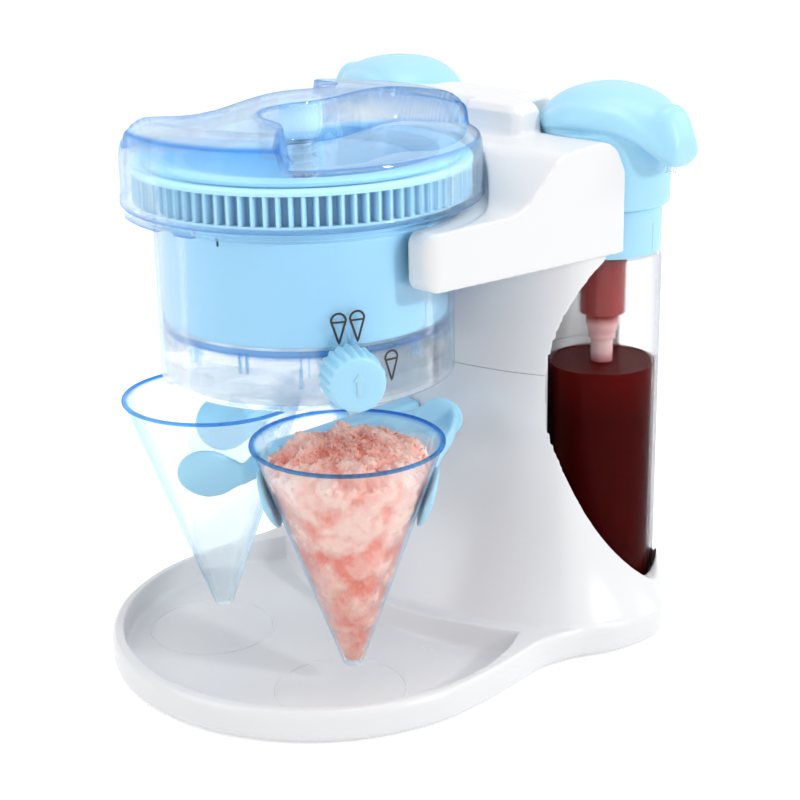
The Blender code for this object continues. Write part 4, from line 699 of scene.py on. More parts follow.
def dress(piece, material, body, slot, *replaced):
    """Give a new piece its material and its body, and hide the nodes that it stands for. The slot is not used."""
    piece.data.materials.clear()
    piece.data.materials.append(material)
    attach(piece, body)
    if replaced:
        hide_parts(*replaced)
    return piece


# %% [markdown]
# The stand's white castings have soft edges everywhere: mould makers round each corner by a millimetre or two.
# Rounding a shape that was cut by cylinders and windows with a bevel often fails, because the cuts leave odd
# corners. So the fine shape is first cut exactly, then rebuilt on an even grid of small cells and smoothed,
# which rounds every edge alike.

# %% Cutting and softening a casting


def blank(name, rows):
    """Closed solid through rows of outline points, to be cut later."""
    return ring_surface(name, np.stack(rows))


def evaluated(piece, name):
    """New object with the piece's mesh after its modifiers."""
    graph = bpy.context.evaluated_depsgraph_get()
    mesh = bpy.data.meshes.new_from_object(piece.evaluated_get(graph))
    mesh.name = name
    return put_in_scene(name, mesh)


def boolean(target, tool, operation):
    """Queue a cut, union or trim of the target by the tool."""
    step = target.modifiers.new(tool.name, "BOOLEAN")
    step.operation = operation
    step.object = tool
    step.solver = "MANIFOLD"


MOST_TRIANGLES = 150000


def softened(target, name, cell, rounds, cut_at=None, keep_above=False):
    """Rebuild on cells of one size, smooth (each round moves a point half way to its neighbours) and thin out.

    cut_at, where given, is the height of a flat cut made after the smoothing, so that its edge stays crisp.
    """
    grid = target.modifiers.new("cells", "REMESH")
    grid.mode = "VOXEL"
    grid.voxel_size = cell
    smooth = target.modifiers.new("smooth", "SMOOTH")
    smooth.factor = 0.5
    smooth.iterations = rounds
    graph = bpy.context.evaluated_depsgraph_get()
    triangles = 2 * len(target.evaluated_get(graph).data.polygons)
    thinner = target.modifiers.new("thinner", "DECIMATE")
    thinner.ratio = min(1.0, MOST_TRIANGLES / triangles)
    made = evaluated(target, name)
    if cut_at is not None:
        shape = bmesh.new()
        shape.from_mesh(made.data)
        bmesh.ops.bisect_plane(shape, geom=shape.verts[:] + shape.edges[:] + shape.faces[:], dist=1e-6,
                               plane_co=(0, 0, cut_at), plane_no=(0, 0, -1 if keep_above else 1), clear_outer=True)
        rim = [edge for edge in shape.edges if edge.is_boundary]
        bmesh.ops.triangle_fill(shape, use_beauty=True, edges=rim)
        bmesh.ops.recalc_face_normals(shape, faces=shape.faces)
        shape.to_mesh(made.data)
        open_edges = sum(edge.is_boundary for edge in shape.edges)
        shape.free()
        made.data.set_sharp_from_angle(angle=math.radians(38))
        print(name, "was cut at", cut_at, "and has", open_edges, "open edges")
    print(name, "has", len(made.data.polygons), "faces after thinning from", triangles)
    return made


def forget(*objects):
    """Remove helper objects that were only needed while a casting was cut."""
    for item in objects:
        bpy.data.objects.remove(item, do_unlink=True)


# %% [markdown]
# Three outlines shape the lower casting: the tray with the foot behind it, the flared bottom of the column and
# its slim top. The column's flare is largest at the tray and dies away as the cube of the height that is left,
# which gives the sweep that the photograph shows.

# %% Outlines of the lower casting
TRAY_RADIUS, TRAY_CENTRE_Y, TRAY_RIM = 0.1000, 0.0045, 0.0160
TRAY_WALL, TRAY_FLOOR, UNDERSIDE = 0.0055, 0.0036, 0.0012
FOOT_HALF_WIDTH, FOOT_REACH = 0.1130, 0.1640
LEDGE_FRONT_Y, LEDGE_BOW = 0.0300, 0.1600
SEAM, COLUMN_FRONT_Y, COLUMN_HALF_WIDTH = 0.1310, 0.0660, 0.0810
COLUMN_REAR = FOOT_REACH - 0.004
BOTTLE_X, BOTTLE_Y, BOTTLE_RADIUS = 0.0660, 0.1270, 0.0270
BAY_RADIUS, CUP_BAY_RADIUS = 0.0285, 0.0315
SHELF = 0.1830


def base_outline(samples=10):
    """Footprint: circle of the tray, a waist, then the wide foot."""
    angle = np.radians([-75, -60, -45, -30, -12, 5])
    arc = np.stack([TRAY_RADIUS * np.cos(angle), TRAY_CENTRE_Y + TRAY_RADIUS * np.sin(angle)], axis=1)
    waist = [(0.975 * TRAY_RADIUS, 0.232 * FOOT_REACH), (0.963 * TRAY_RADIUS, 0.332 * FOOT_REACH)]
    shares = [(0.889, 0.442), (0.973, 0.567), (1.000, 0.700), (0.963, 0.774), (0.850, 0.902), (0.620, 0.970),
              (0.310, 0.995)]
    foot = [(FOOT_HALF_WIDTH * x, FOOT_REACH * y) for x, y in shares]
    return mirrored(list(map(tuple, arc)) + waist + foot, (0, TRAY_CENTRE_Y - TRAY_RADIUS), (0, FOOT_REACH), samples)


def column_row(height, spread, widen=0.0, rear=COLUMN_REAR, samples=8):
    """Column outline: spread 1 is the flared foot, 0 the slim top, and values between mix the two."""
    shares = np.array([
        (0.230, 0.064, 0.247, 0.011), (0.460, 0.112, 0.494, 0.048), (0.655, 0.183, 0.716, 0.101),
        (0.805, 0.261, 0.889, 0.170), (0.888, 0.328, 0.969, 0.239), (0.969, 0.470, 1.000, 0.340),
        (0.998, 0.627, 1.000, 0.511), (0.956, 0.731, 0.981, 0.660), (0.845, 0.881, 0.889, 0.830),
        (0.615, 0.959, 0.667, 0.941), (0.310, 0.990, 0.346, 0.989)])
    low = np.stack([shares[:, 0] * FOOT_HALF_WIDTH, LEDGE_FRONT_Y + shares[:, 1] * (FOOT_REACH - LEDGE_FRONT_Y)], 1)
    high = np.stack([shares[:, 2] * (COLUMN_HALF_WIDTH + widen),
                     COLUMN_FRONT_Y + shares[:, 3] * (rear - COLUMN_FRONT_Y)], 1)
    front = COLUMN_FRONT_Y + spread * (LEDGE_FRONT_Y + 0.006 - COLUMN_FRONT_Y)
    points = list(map(tuple, spread * low + (1 - spread) * high))
    return at_height(mirrored(points, (0, front), (0, rear + 0.0036 * spread), samples), height)


def bay_cutters(label):
    """Bottle bay and side window of each side: a stepped cylinder, and a squared oval pushed along X."""
    made = []
    for side in (1, -1):
        bay = turned(f"{label}_bay_{side}", [
            (0, 0.0105), (BAY_RADIUS, 0.0105), (BAY_RADIUS, SHELF), (CUP_BAY_RADIUS, SHELF),
            (CUP_BAY_RADIUS, 0.29), (0, 0.29)], 96, False, (side * BOTTLE_X, BOTTLE_Y))
        angle = np.linspace(0, 2 * np.pi, 96, endpoint=False)
        across, up = np.cos(angle), np.sin(angle)
        square = np.where(up > 0, 2 / 3.2, 2 / 1.6)
        oval = np.stack([0.129 + 0.0475 * np.sign(across) * np.abs(across) ** square,
                         0.112 + np.where(up > 0, 0.075, -0.088) * np.abs(up) ** square], 1)
        rows = [np.column_stack([np.full(len(oval), side * x), oval]) for x in (0.056, 0.135)]
        made += [bay, ring_surface(f"{label}_window_{side}", np.stack(rows))]
    return made


footprint = base_outline()
print("footprint", np.ptp(footprint, axis=0))

# %% [markdown]
# The lower casting is worked as a foundry would think of it. Blanks between outlines are joined and cut, then one
# fine skin is drawn over the result, so that every corner gets a small radius. Last it is cut level at the seam.

# %% The lower casting
edge = 0.0028
inset = footprint * np.array([0.982, 1.0])
inset[:, 1] = TRAY_CENTRE_Y + (footprint[:, 1] - TRAY_CENTRE_Y) * 0.988
plate = blank("plate_blank", [at_height(inset, UNDERSIDE), at_height(footprint, UNDERSIDE + edge),
                              at_height(footprint, TRAY_RIM - edge), at_height(inset, TRAY_RIM)])
start = TRAY_RIM - 0.002
rise = np.linspace(0, 1, 36) ** 1.6
past = 0.008
rows = [column_row(start + u * (SEAM - start), (1 - u) ** 3.05) for u in rise]
column = blank("column_blank", rows + [column_row(SEAM + past, 0.0)])
recess = turned("recess_cutter", [(0, TRAY_FLOOR), (TRAY_RADIUS - TRAY_WALL, TRAY_FLOOR),
                                  (TRAY_RADIUS - TRAY_WALL, 0.03), (0, 0.03)], 180, False, (0, TRAY_CENTRE_Y))
ledge = turned("ledge_cutter", [(0, 0.0), (LEDGE_BOW, 0.0), (LEDGE_BOW, 0.05), (0, 0.05)], 360, False,
               (0, LEDGE_FRONT_Y + LEDGE_BOW))
boolean(recess, ledge, "DIFFERENCE")
boolean(plate, column, "UNION")
boolean(plate, recess, "DIFFERENCE")
cutters = bay_cutters("base")
for cutter in cutters:
    boolean(plate, cutter, "DIFFERENCE")
base = softened(plate, "stand_base", 0.0008, 6, SEAM)
forget(plate, column, recess, ledge, *cutters)
dress(base, WHITE, "stand", "white", "base_body")

# %% [markdown]
# The upper casting carries on the column, opens into two arms and rises to a hump behind the lid. Its arms are
# one side profile pushed across the machine and trimmed by a plan view, and the housing's and the lid's round
# clearances are then cut from it. It is softened in the same way as the lower casting.

# %% The upper casting
ARM_TIP_Y, ARM_BOTTOM, ARM_TOP, ARM_TIP_X, ARM_REAR_X = -0.0020, 0.1870, 0.2130, 0.0800, 0.0930
SHOULDER_TOP, HUMP_TOP, HUMP_HALF, HUMP_FRONT, HUMP_NECK = 0.2390, 0.2510, 0.0520, 0.0830, 0.0320
side_profile = rounded([
    (ARM_TIP_Y, ARM_BOTTOM + 0.0004, 0.006), (ARM_TIP_Y, ARM_TOP, 0.006), (0.0480, ARM_TOP + 0.001, 0.020),
    (0.0700, SHOULDER_TOP - 0.003, 0.014), (0.1010, SHOULDER_TOP + 0.001, 0.014), (0.1130, ARM_TOP + 0.004, 0.016),
    (0.1200, ARM_BOTTOM + 0.0004, 0.0), (0.0250, ARM_BOTTOM + 0.0004, 0.0)], 10)
wide = ARM_REAR_X + 0.01
arms = ring_surface("arm_blank", np.stack([
    np.column_stack([np.full(len(side_profile), x), side_profile]) for x in (-wide, wide)]))
end_y = BOTTLE_Y - 0.0170
slant = (ARM_REAR_X - ARM_TIP_X) / (end_y - ARM_TIP_Y)
right_side = [(ARM_TIP_X - 0.016, ARM_TIP_Y, 0.004), (ARM_TIP_X, ARM_TIP_Y, 0.007),
              (ARM_TIP_X + slant * (0.05 - ARM_TIP_Y), 0.05, 0), (ARM_REAR_X, end_y, 0.003),
              (HUMP_NECK, end_y + 0.006, 0)]
left_side = [(-x, y, r) for x, y, r in right_side[::-1]]
plan_line = rounded(right_side + left_side + [(-0.02, 0.02, 0), (0.02, 0.02, 0)], 10)
plan = blank("plan_blank", [at_height(plan_line, z) for z in (ARM_BOTTOM - 0.03, HUMP_TOP)])
boolean(arms, plan, "INTERSECT")
seam_top = SEAM + 0.0003
column = blank("head_column_blank", [
    column_row(seam_top - past, 0.0), column_row(seam_top, 0.0), column_row(seam_top + 0.030, 0.0, 0.003),
    column_row(ARM_BOTTOM + 0.006, 0.0, 0.007), column_row(ARM_BOTTOM + 0.018, 0.0, 0.006, COLUMN_REAR - 0.004)])
hump_rear = COLUMN_REAR - 0.012
rows = []
for height, inset_by, slope in ((ARM_TOP - 0.010, 0.0, 0.0), (SHOULDER_TOP - 0.004, 0.0, 0.004),
                                (HUMP_TOP - 0.003, 0.0015, 0.014), (HUMP_TOP, 0.0050, 0.026)):
    broad_x, neck_x, front = HUMP_HALF - inset_by, HUMP_NECK - inset_by, HUMP_FRONT + inset_by
    corners = [(-broad_x, front, 0.006), (-0.019 + inset_by, front, 0.003), (-0.015, front + 0.008, 0.003),
               (0.015, front + 0.008, 0.003), (0.019 - inset_by, front, 0.003), (broad_x, front, 0.006),
               (broad_x, 0.100, 0.006), (neck_x, 0.108, 0.006), (neck_x, hump_rear - slope, 0.014),
               (-neck_x, hump_rear - slope, 0.014), (-neck_x, 0.108, 0.006), (-broad_x, 0.100, 0.006)]
    rows.append(at_height(rounded(corners, 8), height))
hump = blank("hump_blank", rows)
boolean(arms, column, "UNION")
boolean(arms, hump, "UNION")
clearances = [turned("housing_cutter", [(0, 0.13), (0.0672, 0.13), (0.0672, 0.28), (0, 0.28)], 180, False),
              turned("lid_cutter", [(0, ARM_TOP), (0.0812, ARM_TOP), (0.0812, 0.29), (0, 0.29)], 180, False)]
clearances += bay_cutters("head")
for cutter in clearances:
    boolean(arms, cutter, "DIFFERENCE")
head = softened(arms, "stand_head", 0.0008, 6, seam_top, True)
forget(arms, plan, column, hump, *clearances)
dress(head, WHITE, "stand", "white", "head_shell")

# %% [markdown]
# The lid is one clear moulding: a skirt that drops over the ribbed ring, and a top whose two lobes sweep
# round each other so that a hand can turn it. Its top is a height over the plan. Two curved pockets are sunk
# into a low dome, and the distance to a pocket's edge decides how far a point has sunk.

# %% The lid's height over its plan
LID_RADIUS, LID_WALL, LID_BOTTOM, LID_FLOOR, LID_CREST = 0.0790, 0.0022, 0.2190, 0.2450, 0.2620
LID_LOBE_FALL, LID_SHOULDER, LID_FACING = 0.0045, 0.0070, math.radians(46)
POCKET = smooth_outline([
    (-0.003, -0.058), (-0.0125, -0.043), (-0.0125, -0.031), (-0.004, -0.022), (0.006, -0.017), (0.016, -0.007),
    (0.0225, 0.004), (0.0285, 0.015), (0.036, 0.026), (0.046, 0.031), (0.060, 0.027), (0.090, 0.018),
    (0.110, -0.030), (0.080, -0.095), (0.020, -0.110), (-0.002, -0.080)], 6)


def pocket_distance(points):
    """Distance to the nearer pocket's edge, negative inside: least distance to its segments, signed by parity."""
    best = np.full(len(points), np.inf)
    for flip in (1, -1):
        corner = flip * POCKET
        nearest = np.full(len(points), np.inf)
        inside = np.zeros(len(points), bool)
        for a, b in zip(corner, np.roll(corner, -1, axis=0)):
            side = b - a
            share = np.clip(((points - a) @ side) / (side @ side), 0, 1)
            nearest = np.minimum(nearest, np.linalg.norm(points - a - share[:, None] * side, axis=1))
            crosses = (a[1] > points[:, 1]) != (b[1] > points[:, 1])
            climb = side[1] if side[1] != 0 else 1e-12
            inside ^= crosses & (points[:, 0] < a[0] + (points[:, 1] - a[1]) * side[0] / climb)
        best = np.minimum(best, np.where(inside, -nearest, nearest))
    return best


def lid_height(points, shrink):
    """Dome minus shoulder, sunk to the floor inside the pockets with an S-shaped wall 3 mm wide."""
    reach = np.linalg.norm(points, axis=1) / LID_RADIUS
    crest = LID_CREST - LID_LOBE_FALL * reach ** 2
    slope = np.clip((pocket_distance(points) - shrink + 0.0015) / 0.003, 0, 1)
    mixed = slope * slope * (3 - 2 * slope)
    shoulder = LID_SHOULDER * np.clip((reach - 0.86) / 0.14, 0, 1) ** 2
    rim = 0.0012 * np.clip((reach - 0.9) / 0.1, 0, 1) ** 2
    return LID_FLOOR + mixed * (crest - shoulder - LID_FLOOR) - rim - shrink


print("lid height at the middle", lid_height(np.zeros((1, 2)), 0.0))

# %% [markdown]
# The lid is one surface that runs from the crown over the skirt and back along its underside. Its height is
# looked up at each point of a round grid, so both pockets get their walls without any cut.

# %% The lid
LID_COLUMNS, LID_RINGS = 350, 125
angle = np.linspace(0, 2 * np.pi, LID_COLUMNS, endpoint=False)
compass = np.stack([np.cos(angle), np.sin(angle)], 1)
facing = np.array([[math.cos(LID_FACING), -math.sin(LID_FACING)], [math.sin(LID_FACING), math.cos(LID_FACING)]])


def lid_rows(radius, shares, shrink):
    """Rows of the lid's top or underside: circles of growing radius lifted by lid_height."""
    plan = (radius * shares)[:, None, None] * compass[None]
    height = lid_height(plan.reshape(-1, 2), shrink).reshape(len(shares), LID_COLUMNS, 1)
    return np.concatenate([plan @ facing.T, height], axis=-1)


def lid_ring(radius, height):
    """One level circle of the skirt."""
    return at_height(radius * compass @ facing.T, height)[None]


shares = np.linspace(0, 1, LID_RINGS) ** 0.9
inner = LID_RADIUS - LID_WALL
top = lid_rows(LID_RADIUS - 0.0012, shares, 0.0)
under = lid_rows(inner - 0.0012, shares[::-1], LID_WALL)
skirt = [lid_ring(LID_RADIUS - 0.0004, LID_FLOOR - 0.0032), lid_ring(LID_RADIUS, LID_FLOOR - 0.0060),
         lid_ring(LID_RADIUS, LID_BOTTOM + 0.0034), lid_ring(LID_RADIUS + 0.0005, LID_BOTTOM + 0.0028),
         lid_ring(LID_RADIUS + 0.0006, LID_BOTTOM + 0.0004), lid_ring(LID_RADIUS + 0.0002, LID_BOTTOM),
         lid_ring(inner + 0.0004, LID_BOTTOM), lid_ring(inner, LID_BOTTOM + 0.0004),
         lid_ring(inner, LID_FLOOR - 0.0080), lid_ring(inner - 0.0004, LID_FLOOR - 0.0052)]
lid = ring_surface("grip_lid", np.concatenate([top, *skirt, under]))


def lid_blue(points):
    """Blue along the pockets' upper and lower edges and the foot of the skirt, on the outer side only."""
    away = pocket_distance(points[:, :2] @ facing)
    radius = np.linalg.norm(points[:, :2], axis=1)
    outer = points[:, 2] > lid_height(points[:, :2] @ facing, 0.0) - 0.0011
    steps = 0.95 * near(away, 0.0017, 0.0008) + 0.75 * near(away, -0.0016, 0.0008)
    rim = 0.95 * outer * near(radius, LID_RADIUS - 0.0019, 0.0009)
    steps = steps * outer * (radius < LID_RADIUS - 0.0020) + rim
    foot = 0.8 * near(points[:, 2], LID_BOTTOM + 0.0010, 0.0012) * (radius > inner + 0.0008)
    return steps + foot


gather_blue(lid, lid_blue)
dress(lid, BLUE_CLEAR, "lid", "clear_blue", "lid")
print("lid has", len(lid.data.polygons), "faces")

# %% [markdown]
# Four short lugs below the skirt lock the lid on the drum's ring when it is turned. Each is a block bent round
# the axis: its cross-section, a small rectangle with rounded corners, is carried along an arc.

# %% The lid's lugs
cross = rounded([(inner - 0.0006, LID_BOTTOM - 0.0036, 0.0006), (LID_RADIUS + 0.0005, LID_BOTTOM - 0.0036, 0.0006),
                 (LID_RADIUS + 0.0005, LID_BOTTOM - 0.0002, 0.0004), (inner - 0.0006, LID_BOTTOM - 0.0002, 0.0004)], 4)
for number, (first, last) in enumerate(((246, 269), (277, 284), (66, 89), (97, 104)), 1):
    bend = np.radians(np.linspace(first, last, 24))[:, None]
    rows = np.stack([cross[None, :, 0] * np.cos(bend), cross[None, :, 0] * np.sin(bend),
                     np.broadcast_to(cross[None, :, 1], (24, len(cross)))], -1)
    lug = ring_surface(f"lid_lug_{number}", rows)
    gather_blue(lug, lambda points: 0.35 * (points[:, 2] < LID_BOTTOM - 0.0028))
    dress(lug, BLUE_CLEAR, "lid", "clear_blue")
print("four lugs")

# %% [markdown]
# The drum is a plain blue cylinder with a broad lip on top. Over it sits the ribbed ring that the lid grips: a
# flat band with 88 small upright ribs between two flanges. The ribs are a ripple on a turned profile, worked
# out as a function of the angle, so the whole ring is one surface.

# %% The drum and its ring
DRUM_BOTTOM, DRUM_TOP = 0.1670, 0.2384
drum_profile = rounded([
    (0.0610, DRUM_BOTTOM, 0.0004), (0.0630, DRUM_BOTTOM, 0.0006), (0.0620, DRUM_TOP - 0.0020, 0.0003),
    (0.0700, DRUM_TOP - 0.0020, 0.0006), (0.0700, DRUM_TOP, 0.0006), (0.0600, DRUM_TOP, 0.0008)], 4)
drum = turned("turning_drum", drum_profile, 224)
dress(drum, DRUM_BLUE, "drum", "sky", "drum")
RING_RIBS, RING_LOW, RING_HIGH, RIB_RADIUS, RIB_DEPTH = 88, 0.2198, 0.2360, 0.0742, 0.0044


def rib_ripple(radius, height, angle):
    """Ribs where the profile is marked by a radius over 1 m: root radius plus a flat-topped wave."""
    wave = np.clip(2.2 * np.cos(RING_RIBS * angle) - 0.35, -1, 1) * 0.5 + 0.5
    ribbed = RIB_RADIUS - RIB_DEPTH * (1 - wave)
    return np.where(radius > 1, ribbed, radius)


band = [(0.0632, RING_LOW), (0.0738, RING_LOW), (0.0742, RING_LOW + 0.0005), (0.0742, RING_LOW + 0.0010),
        (0.0700, RING_LOW + 0.0011), (2, RING_LOW + 0.0012), (2, RING_HIGH - 0.0026),
        (0.0700, RING_HIGH - 0.0025), (0.0746, RING_HIGH - 0.0024), (0.0746, RING_HIGH - 0.0008),
        (0.0739, RING_HIGH), (0.0632, RING_HIGH)]
ring = turned("ribbed_band", band, RING_RIBS * 10, True, ripple=rib_ripple)


def painted_rib_gap_shade(points):
    """Painted shade share: 1 in the gaps between the ribs, 0 on their tops and on the two flanges."""
    radius = np.linalg.norm(points[:, :2], axis=1)
    in_band = (points[:, 2] > RING_LOW + 0.0010) & (points[:, 2] < RING_HIGH - 0.0024)
    return in_band * np.clip((RIB_RADIUS - 0.0010 - radius) / (0.5 * RIB_DEPTH), 0, 1)


# Painted shade: the gaps between the ribs take a darker colour through the rib finish's shade colour.
store_share(ring, "painted_gap_shade", painted_rib_gap_shade)
dress(ring, RIB_BLUE, "drum", "sky", "ribbed_ring")
print("ring has", len(ring.data.polygons), "faces")

# %% [markdown]
# The clear housing hangs by a flange on the arms. A ledge inside it carries the blade plate, and below the
# plate the skirt guides the shaved ice. It is a turned shell with small rounded corners, which catch the light
# as thin bright lines.

# %% The housing, its plate and the chute
HOUSING_RADIUS, HOUSING_BORE, HOUSING_LOW, HOUSING_HIGH = 0.0660, 0.0642, 0.1403, 0.2194
FLANGE_LOW, FLANGE_HIGH, FLANGE_RADIUS = 0.2133, 0.2150, 0.0712
LEDGE_TOP, PLATE_LOW, PLATE_HIGH = 0.1631, 0.1634, 0.1660
housing_profile = rounded([
    (HOUSING_RADIUS, HOUSING_LOW, 0.0007), (HOUSING_RADIUS, FLANGE_LOW, 0.0004),
    (FLANGE_RADIUS, FLANGE_LOW, 0.0007), (FLANGE_RADIUS, FLANGE_HIGH, 0.0007), (HOUSING_RADIUS, FLANGE_HIGH, 0.0004),
    (HOUSING_RADIUS, HOUSING_HIGH, 0.0005), (HOUSING_BORE, HOUSING_HIGH, 0.0005),
    (HOUSING_BORE, LEDGE_TOP + 0.0015, 0), (HOUSING_BORE, LEDGE_TOP, 0.0002),
    (HOUSING_BORE - 0.003, LEDGE_TOP, 0.0004), (HOUSING_BORE - 0.003, LEDGE_TOP - 0.002, 0.0004),
    (HOUSING_BORE, LEDGE_TOP - 0.0045, 0.0004), (HOUSING_BORE, LEDGE_TOP - 0.0065, 0),
    (HOUSING_BORE, HOUSING_LOW, 0.0007)], 4)
housing = turned("clear_housing", housing_profile, 256)
gather_blue(housing, lambda points: 0.85 * near(points[:, 2], LEDGE_TOP - 0.0008, 0.0010)
            * (np.linalg.norm(points[:, :2], axis=1) < HOUSING_BORE + 0.0002))
dress(housing, BLUE_CLEAR, "stand", "clear_blue", "housing")
PLATE_RADIUS = 0.0639
plate_profile = rounded([(0.0078, PLATE_LOW, 0.0002), (PLATE_RADIUS - 0.0012, PLATE_LOW, 0),
                         (PLATE_RADIUS, PLATE_LOW, 0.0004), (PLATE_RADIUS, PLATE_HIGH, 0.0004),
                         (PLATE_RADIUS - 0.0012, PLATE_HIGH, 0), (0.0078, PLATE_HIGH, 0.0002)], 3)
blade_plate = turned("cutting_plate", plate_profile, 256)
gather_blue(blade_plate, lambda points: 0.9 * (np.linalg.norm(points[:, :2], axis=1) > PLATE_RADIUS - 0.0005))
dress(blade_plate, BLUE_CLEAR, "stand", "clear_blue", "blade_plate")
print("housing has", len(housing.data.polygons), "faces")

# %% [markdown]
# Each serving cone is a thin clear wall with a small blunt tip and a rolled rim. The rim's bead is thicker than
# the wall, so it shows as a blue line, as in the photograph.

# %% The serving cones
CONE_X, CONE_Y, CONE_RIM, CONE_TIP = 0.0460, -0.0195, 0.0420, 0.0042
CONE_LOW, CONE_HIGH = 0.0140, 0.1205
CONE_SLOPE = (CONE_RIM - CONE_TIP) / (CONE_HIGH - CONE_LOW)
for side, word in ((1, "right"), (-1, "left")):
    wall, bead_low = 0.0013, 0.0026
    profile = rounded([
        (0, CONE_LOW, 0), (CONE_TIP, CONE_LOW, 0.0012),
        (CONE_RIM - bead_low * CONE_SLOPE, CONE_HIGH - bead_low, 0),
        (CONE_RIM - 0.0018 * CONE_SLOPE, CONE_HIGH - 0.0018, 0.0004),
        (CONE_RIM + 0.0007, CONE_HIGH - 0.0012, 0.0005), (CONE_RIM + 0.0005, CONE_HIGH, 0.0006),
        (CONE_RIM - wall, CONE_HIGH, 0.0005), (CONE_RIM - wall - bead_low * CONE_SLOPE, CONE_HIGH - bead_low, 0),
        (CONE_TIP + 0.0020 * CONE_SLOPE - wall, CONE_LOW + 0.0020, 0.0008),
        (0, CONE_LOW + 0.0020, 0)], 5, closed=False)
    cone = turned(f"serving_cone_{word}", profile, 160, False, (side * CONE_X, CONE_Y))
    gather_blue(cone, lambda points: 0.95 * (points[:, 2] > CONE_HIGH - 0.0017))
    dress(cone, CONE_CLEAR, f"cone_{word}", "clear_blue", f"cone_{word}")
print("two cones")

# %% [markdown]
# The rims of the plate and the little tabs under it are the deepest blue of all, because the eye looks along
# the plastic there. The tabs locate the plate in the housing. Each is a block bent round the axis, and one long
# tab beside the knob stops the plate from turning.

# %% Tabs under the plate


def bent_block(first, last, inner_radius, outer_radius, low, high, steps=8, corner=0.0004):
    """Rows of a rounded rectangle carried along an arc from one azimuth to another, in radians."""
    section = rounded([(inner_radius, low, corner), (outer_radius, low, corner), (outer_radius, high, corner),
                       (inner_radius, high, corner)], 3)
    bend = np.linspace(first, last, steps)[:, None]
    return np.stack([section[None, :, 0] * np.cos(bend), section[None, :, 0] * np.sin(bend),
                     np.broadcast_to(section[None, :, 1], (steps, len(section)))], -1)


TAB_COUNT, TAB_WIDTH, TAB_DEPTH = 14, 0.0044, 0.0095
for number in range(TAB_COUNT):
    middle_angle = 2 * math.pi * (number + 0.35) / TAB_COUNT
    half_angle = 0.5 * TAB_WIDTH / HOUSING_BORE
    for part, (low_share, high_share) in enumerate(((-1.0, -0.6), (0.6, 1.0)), 1):
        rows = bent_block(middle_angle + low_share * half_angle, middle_angle + high_share * half_angle,
                          0.0586, 0.0602, PLATE_LOW - TAB_DEPTH, PLATE_LOW - 0.0002, 4)
        dress(ring_surface(f"plate_tab_{number + 1}_{part}", rows), RIM_BLUE, "stand", "clear_blue")
stop_turn = math.radians(-44)
rows = bent_block(stop_turn - 0.012, stop_turn + 0.012, 0.0624, 0.0640, 0.1500, LEDGE_TOP - 0.0050, 4)
dress(ring_surface("plate_stop_tab", rows), RIM_BLUE, "stand", "clear_blue")
print(TAB_COUNT, "tabs and a stop")

# %% [markdown]
# Three small black prints on the housing tell what the knob does: two cones above it, one cone beside it, and a
# tick near the flange. They are drawn as a line of ink that follows the round wall. The outline of a cone is a
# half circle closed by two straight sides, and a short bar crosses it where the two meet.

# %% Prints on the housing


def ink_line(name, path, closed, width=0.0010, lift=0.00005, film=0.00006):
    """Flat line on the housing: path points are (distance round the wall, height) in metres."""
    path = np.asarray(path, float)
    if closed:
        ahead, behind = np.roll(path, -1, 0), np.roll(path, 1, 0)
    else:
        ahead, behind = np.vstack([path[1:], path[-1:]]), np.vstack([path[:1], path[:-1]])
    along = ahead - behind
    along /= np.linalg.norm(along, axis=1)[:, None]
    across = np.stack([-along[:, 1], along[:, 0]], 1) * width / 2
    radius_low, radius_high = HOUSING_RADIUS + lift, HOUSING_RADIUS + lift + film
    rows = []
    for sign, radius in ((-1, radius_low), (1, radius_low), (1, radius_high), (-1, radius_high)):
        spot = path + sign * across
        turn_angle = spot[:, 0] / HOUSING_RADIUS
        rows.append(np.stack([radius * np.cos(turn_angle), radius * np.sin(turn_angle), spot[:, 1]], 1))
    return ring_surface(name, np.stack(rows, axis=1), closed)


def cone_sign(name, azimuth, top, width=0.0062, height=0.0130):
    """Outline and crossbar of a filled cone, printed at an azimuth."""
    radius = width / 2
    start = math.radians(azimuth) * HOUSING_RADIUS
    bow = np.linspace(0, math.pi, 25)
    head_line = np.stack([start + radius * np.cos(bow), top - radius + radius * np.sin(bow)], 1)
    share = np.linspace(0, 1, 12)[1:, None]
    tip = np.array([start, top - height])
    down = head_line[-1] * (1 - share) + tip * share
    up_again = tip * (1 - share[:-1]) + head_line[0] * share[:-1]
    outline = np.vstack([head_line, down, up_again])
    bar = np.linspace([start - radius, top - radius - 0.0006], [start + radius, top - radius - 0.0006], 8)
    dress(ink_line(f"{name}_outline", outline, True), INK, "stand", "white")
    dress(ink_line(f"{name}_bar", bar, False, 0.0009), INK, "stand", "white")


cone_sign("two_cone_sign_a", -29.8, 0.1822)
cone_sign("two_cone_sign_b", -22.8, 0.1826)
cone_sign("one_cone_sign", -9.2, 0.1630)
TICK_ALONG, TICK_LOW, TICK_HIGH = math.radians(-73.6) * HOUSING_RADIUS, 0.2098, 0.2132
tick = np.linspace([TICK_ALONG, TICK_LOW], [TICK_ALONG, TICK_HIGH], 6)
dress(ink_line("flange_tick", tick, False, 0.0011), INK, "stand", "white")
print("prints are on")

# %% [markdown]
# The selector knob is moulded in sky blue with twenty soft flutes that fade out at its flat face, and an arrow
# stands up a little on that face. The flutes are a cosine wave in the radius. Its depth is large behind, where
# fingers grip, and small at the face.

# %% The selector knob
KNOB_TURN, KNOB_Z, KNOB_LONG, FLUTES = math.radians(-27), 0.1563, 0.0180, 20
KNOB_START = HOUSING_RADIUS + 0.0003


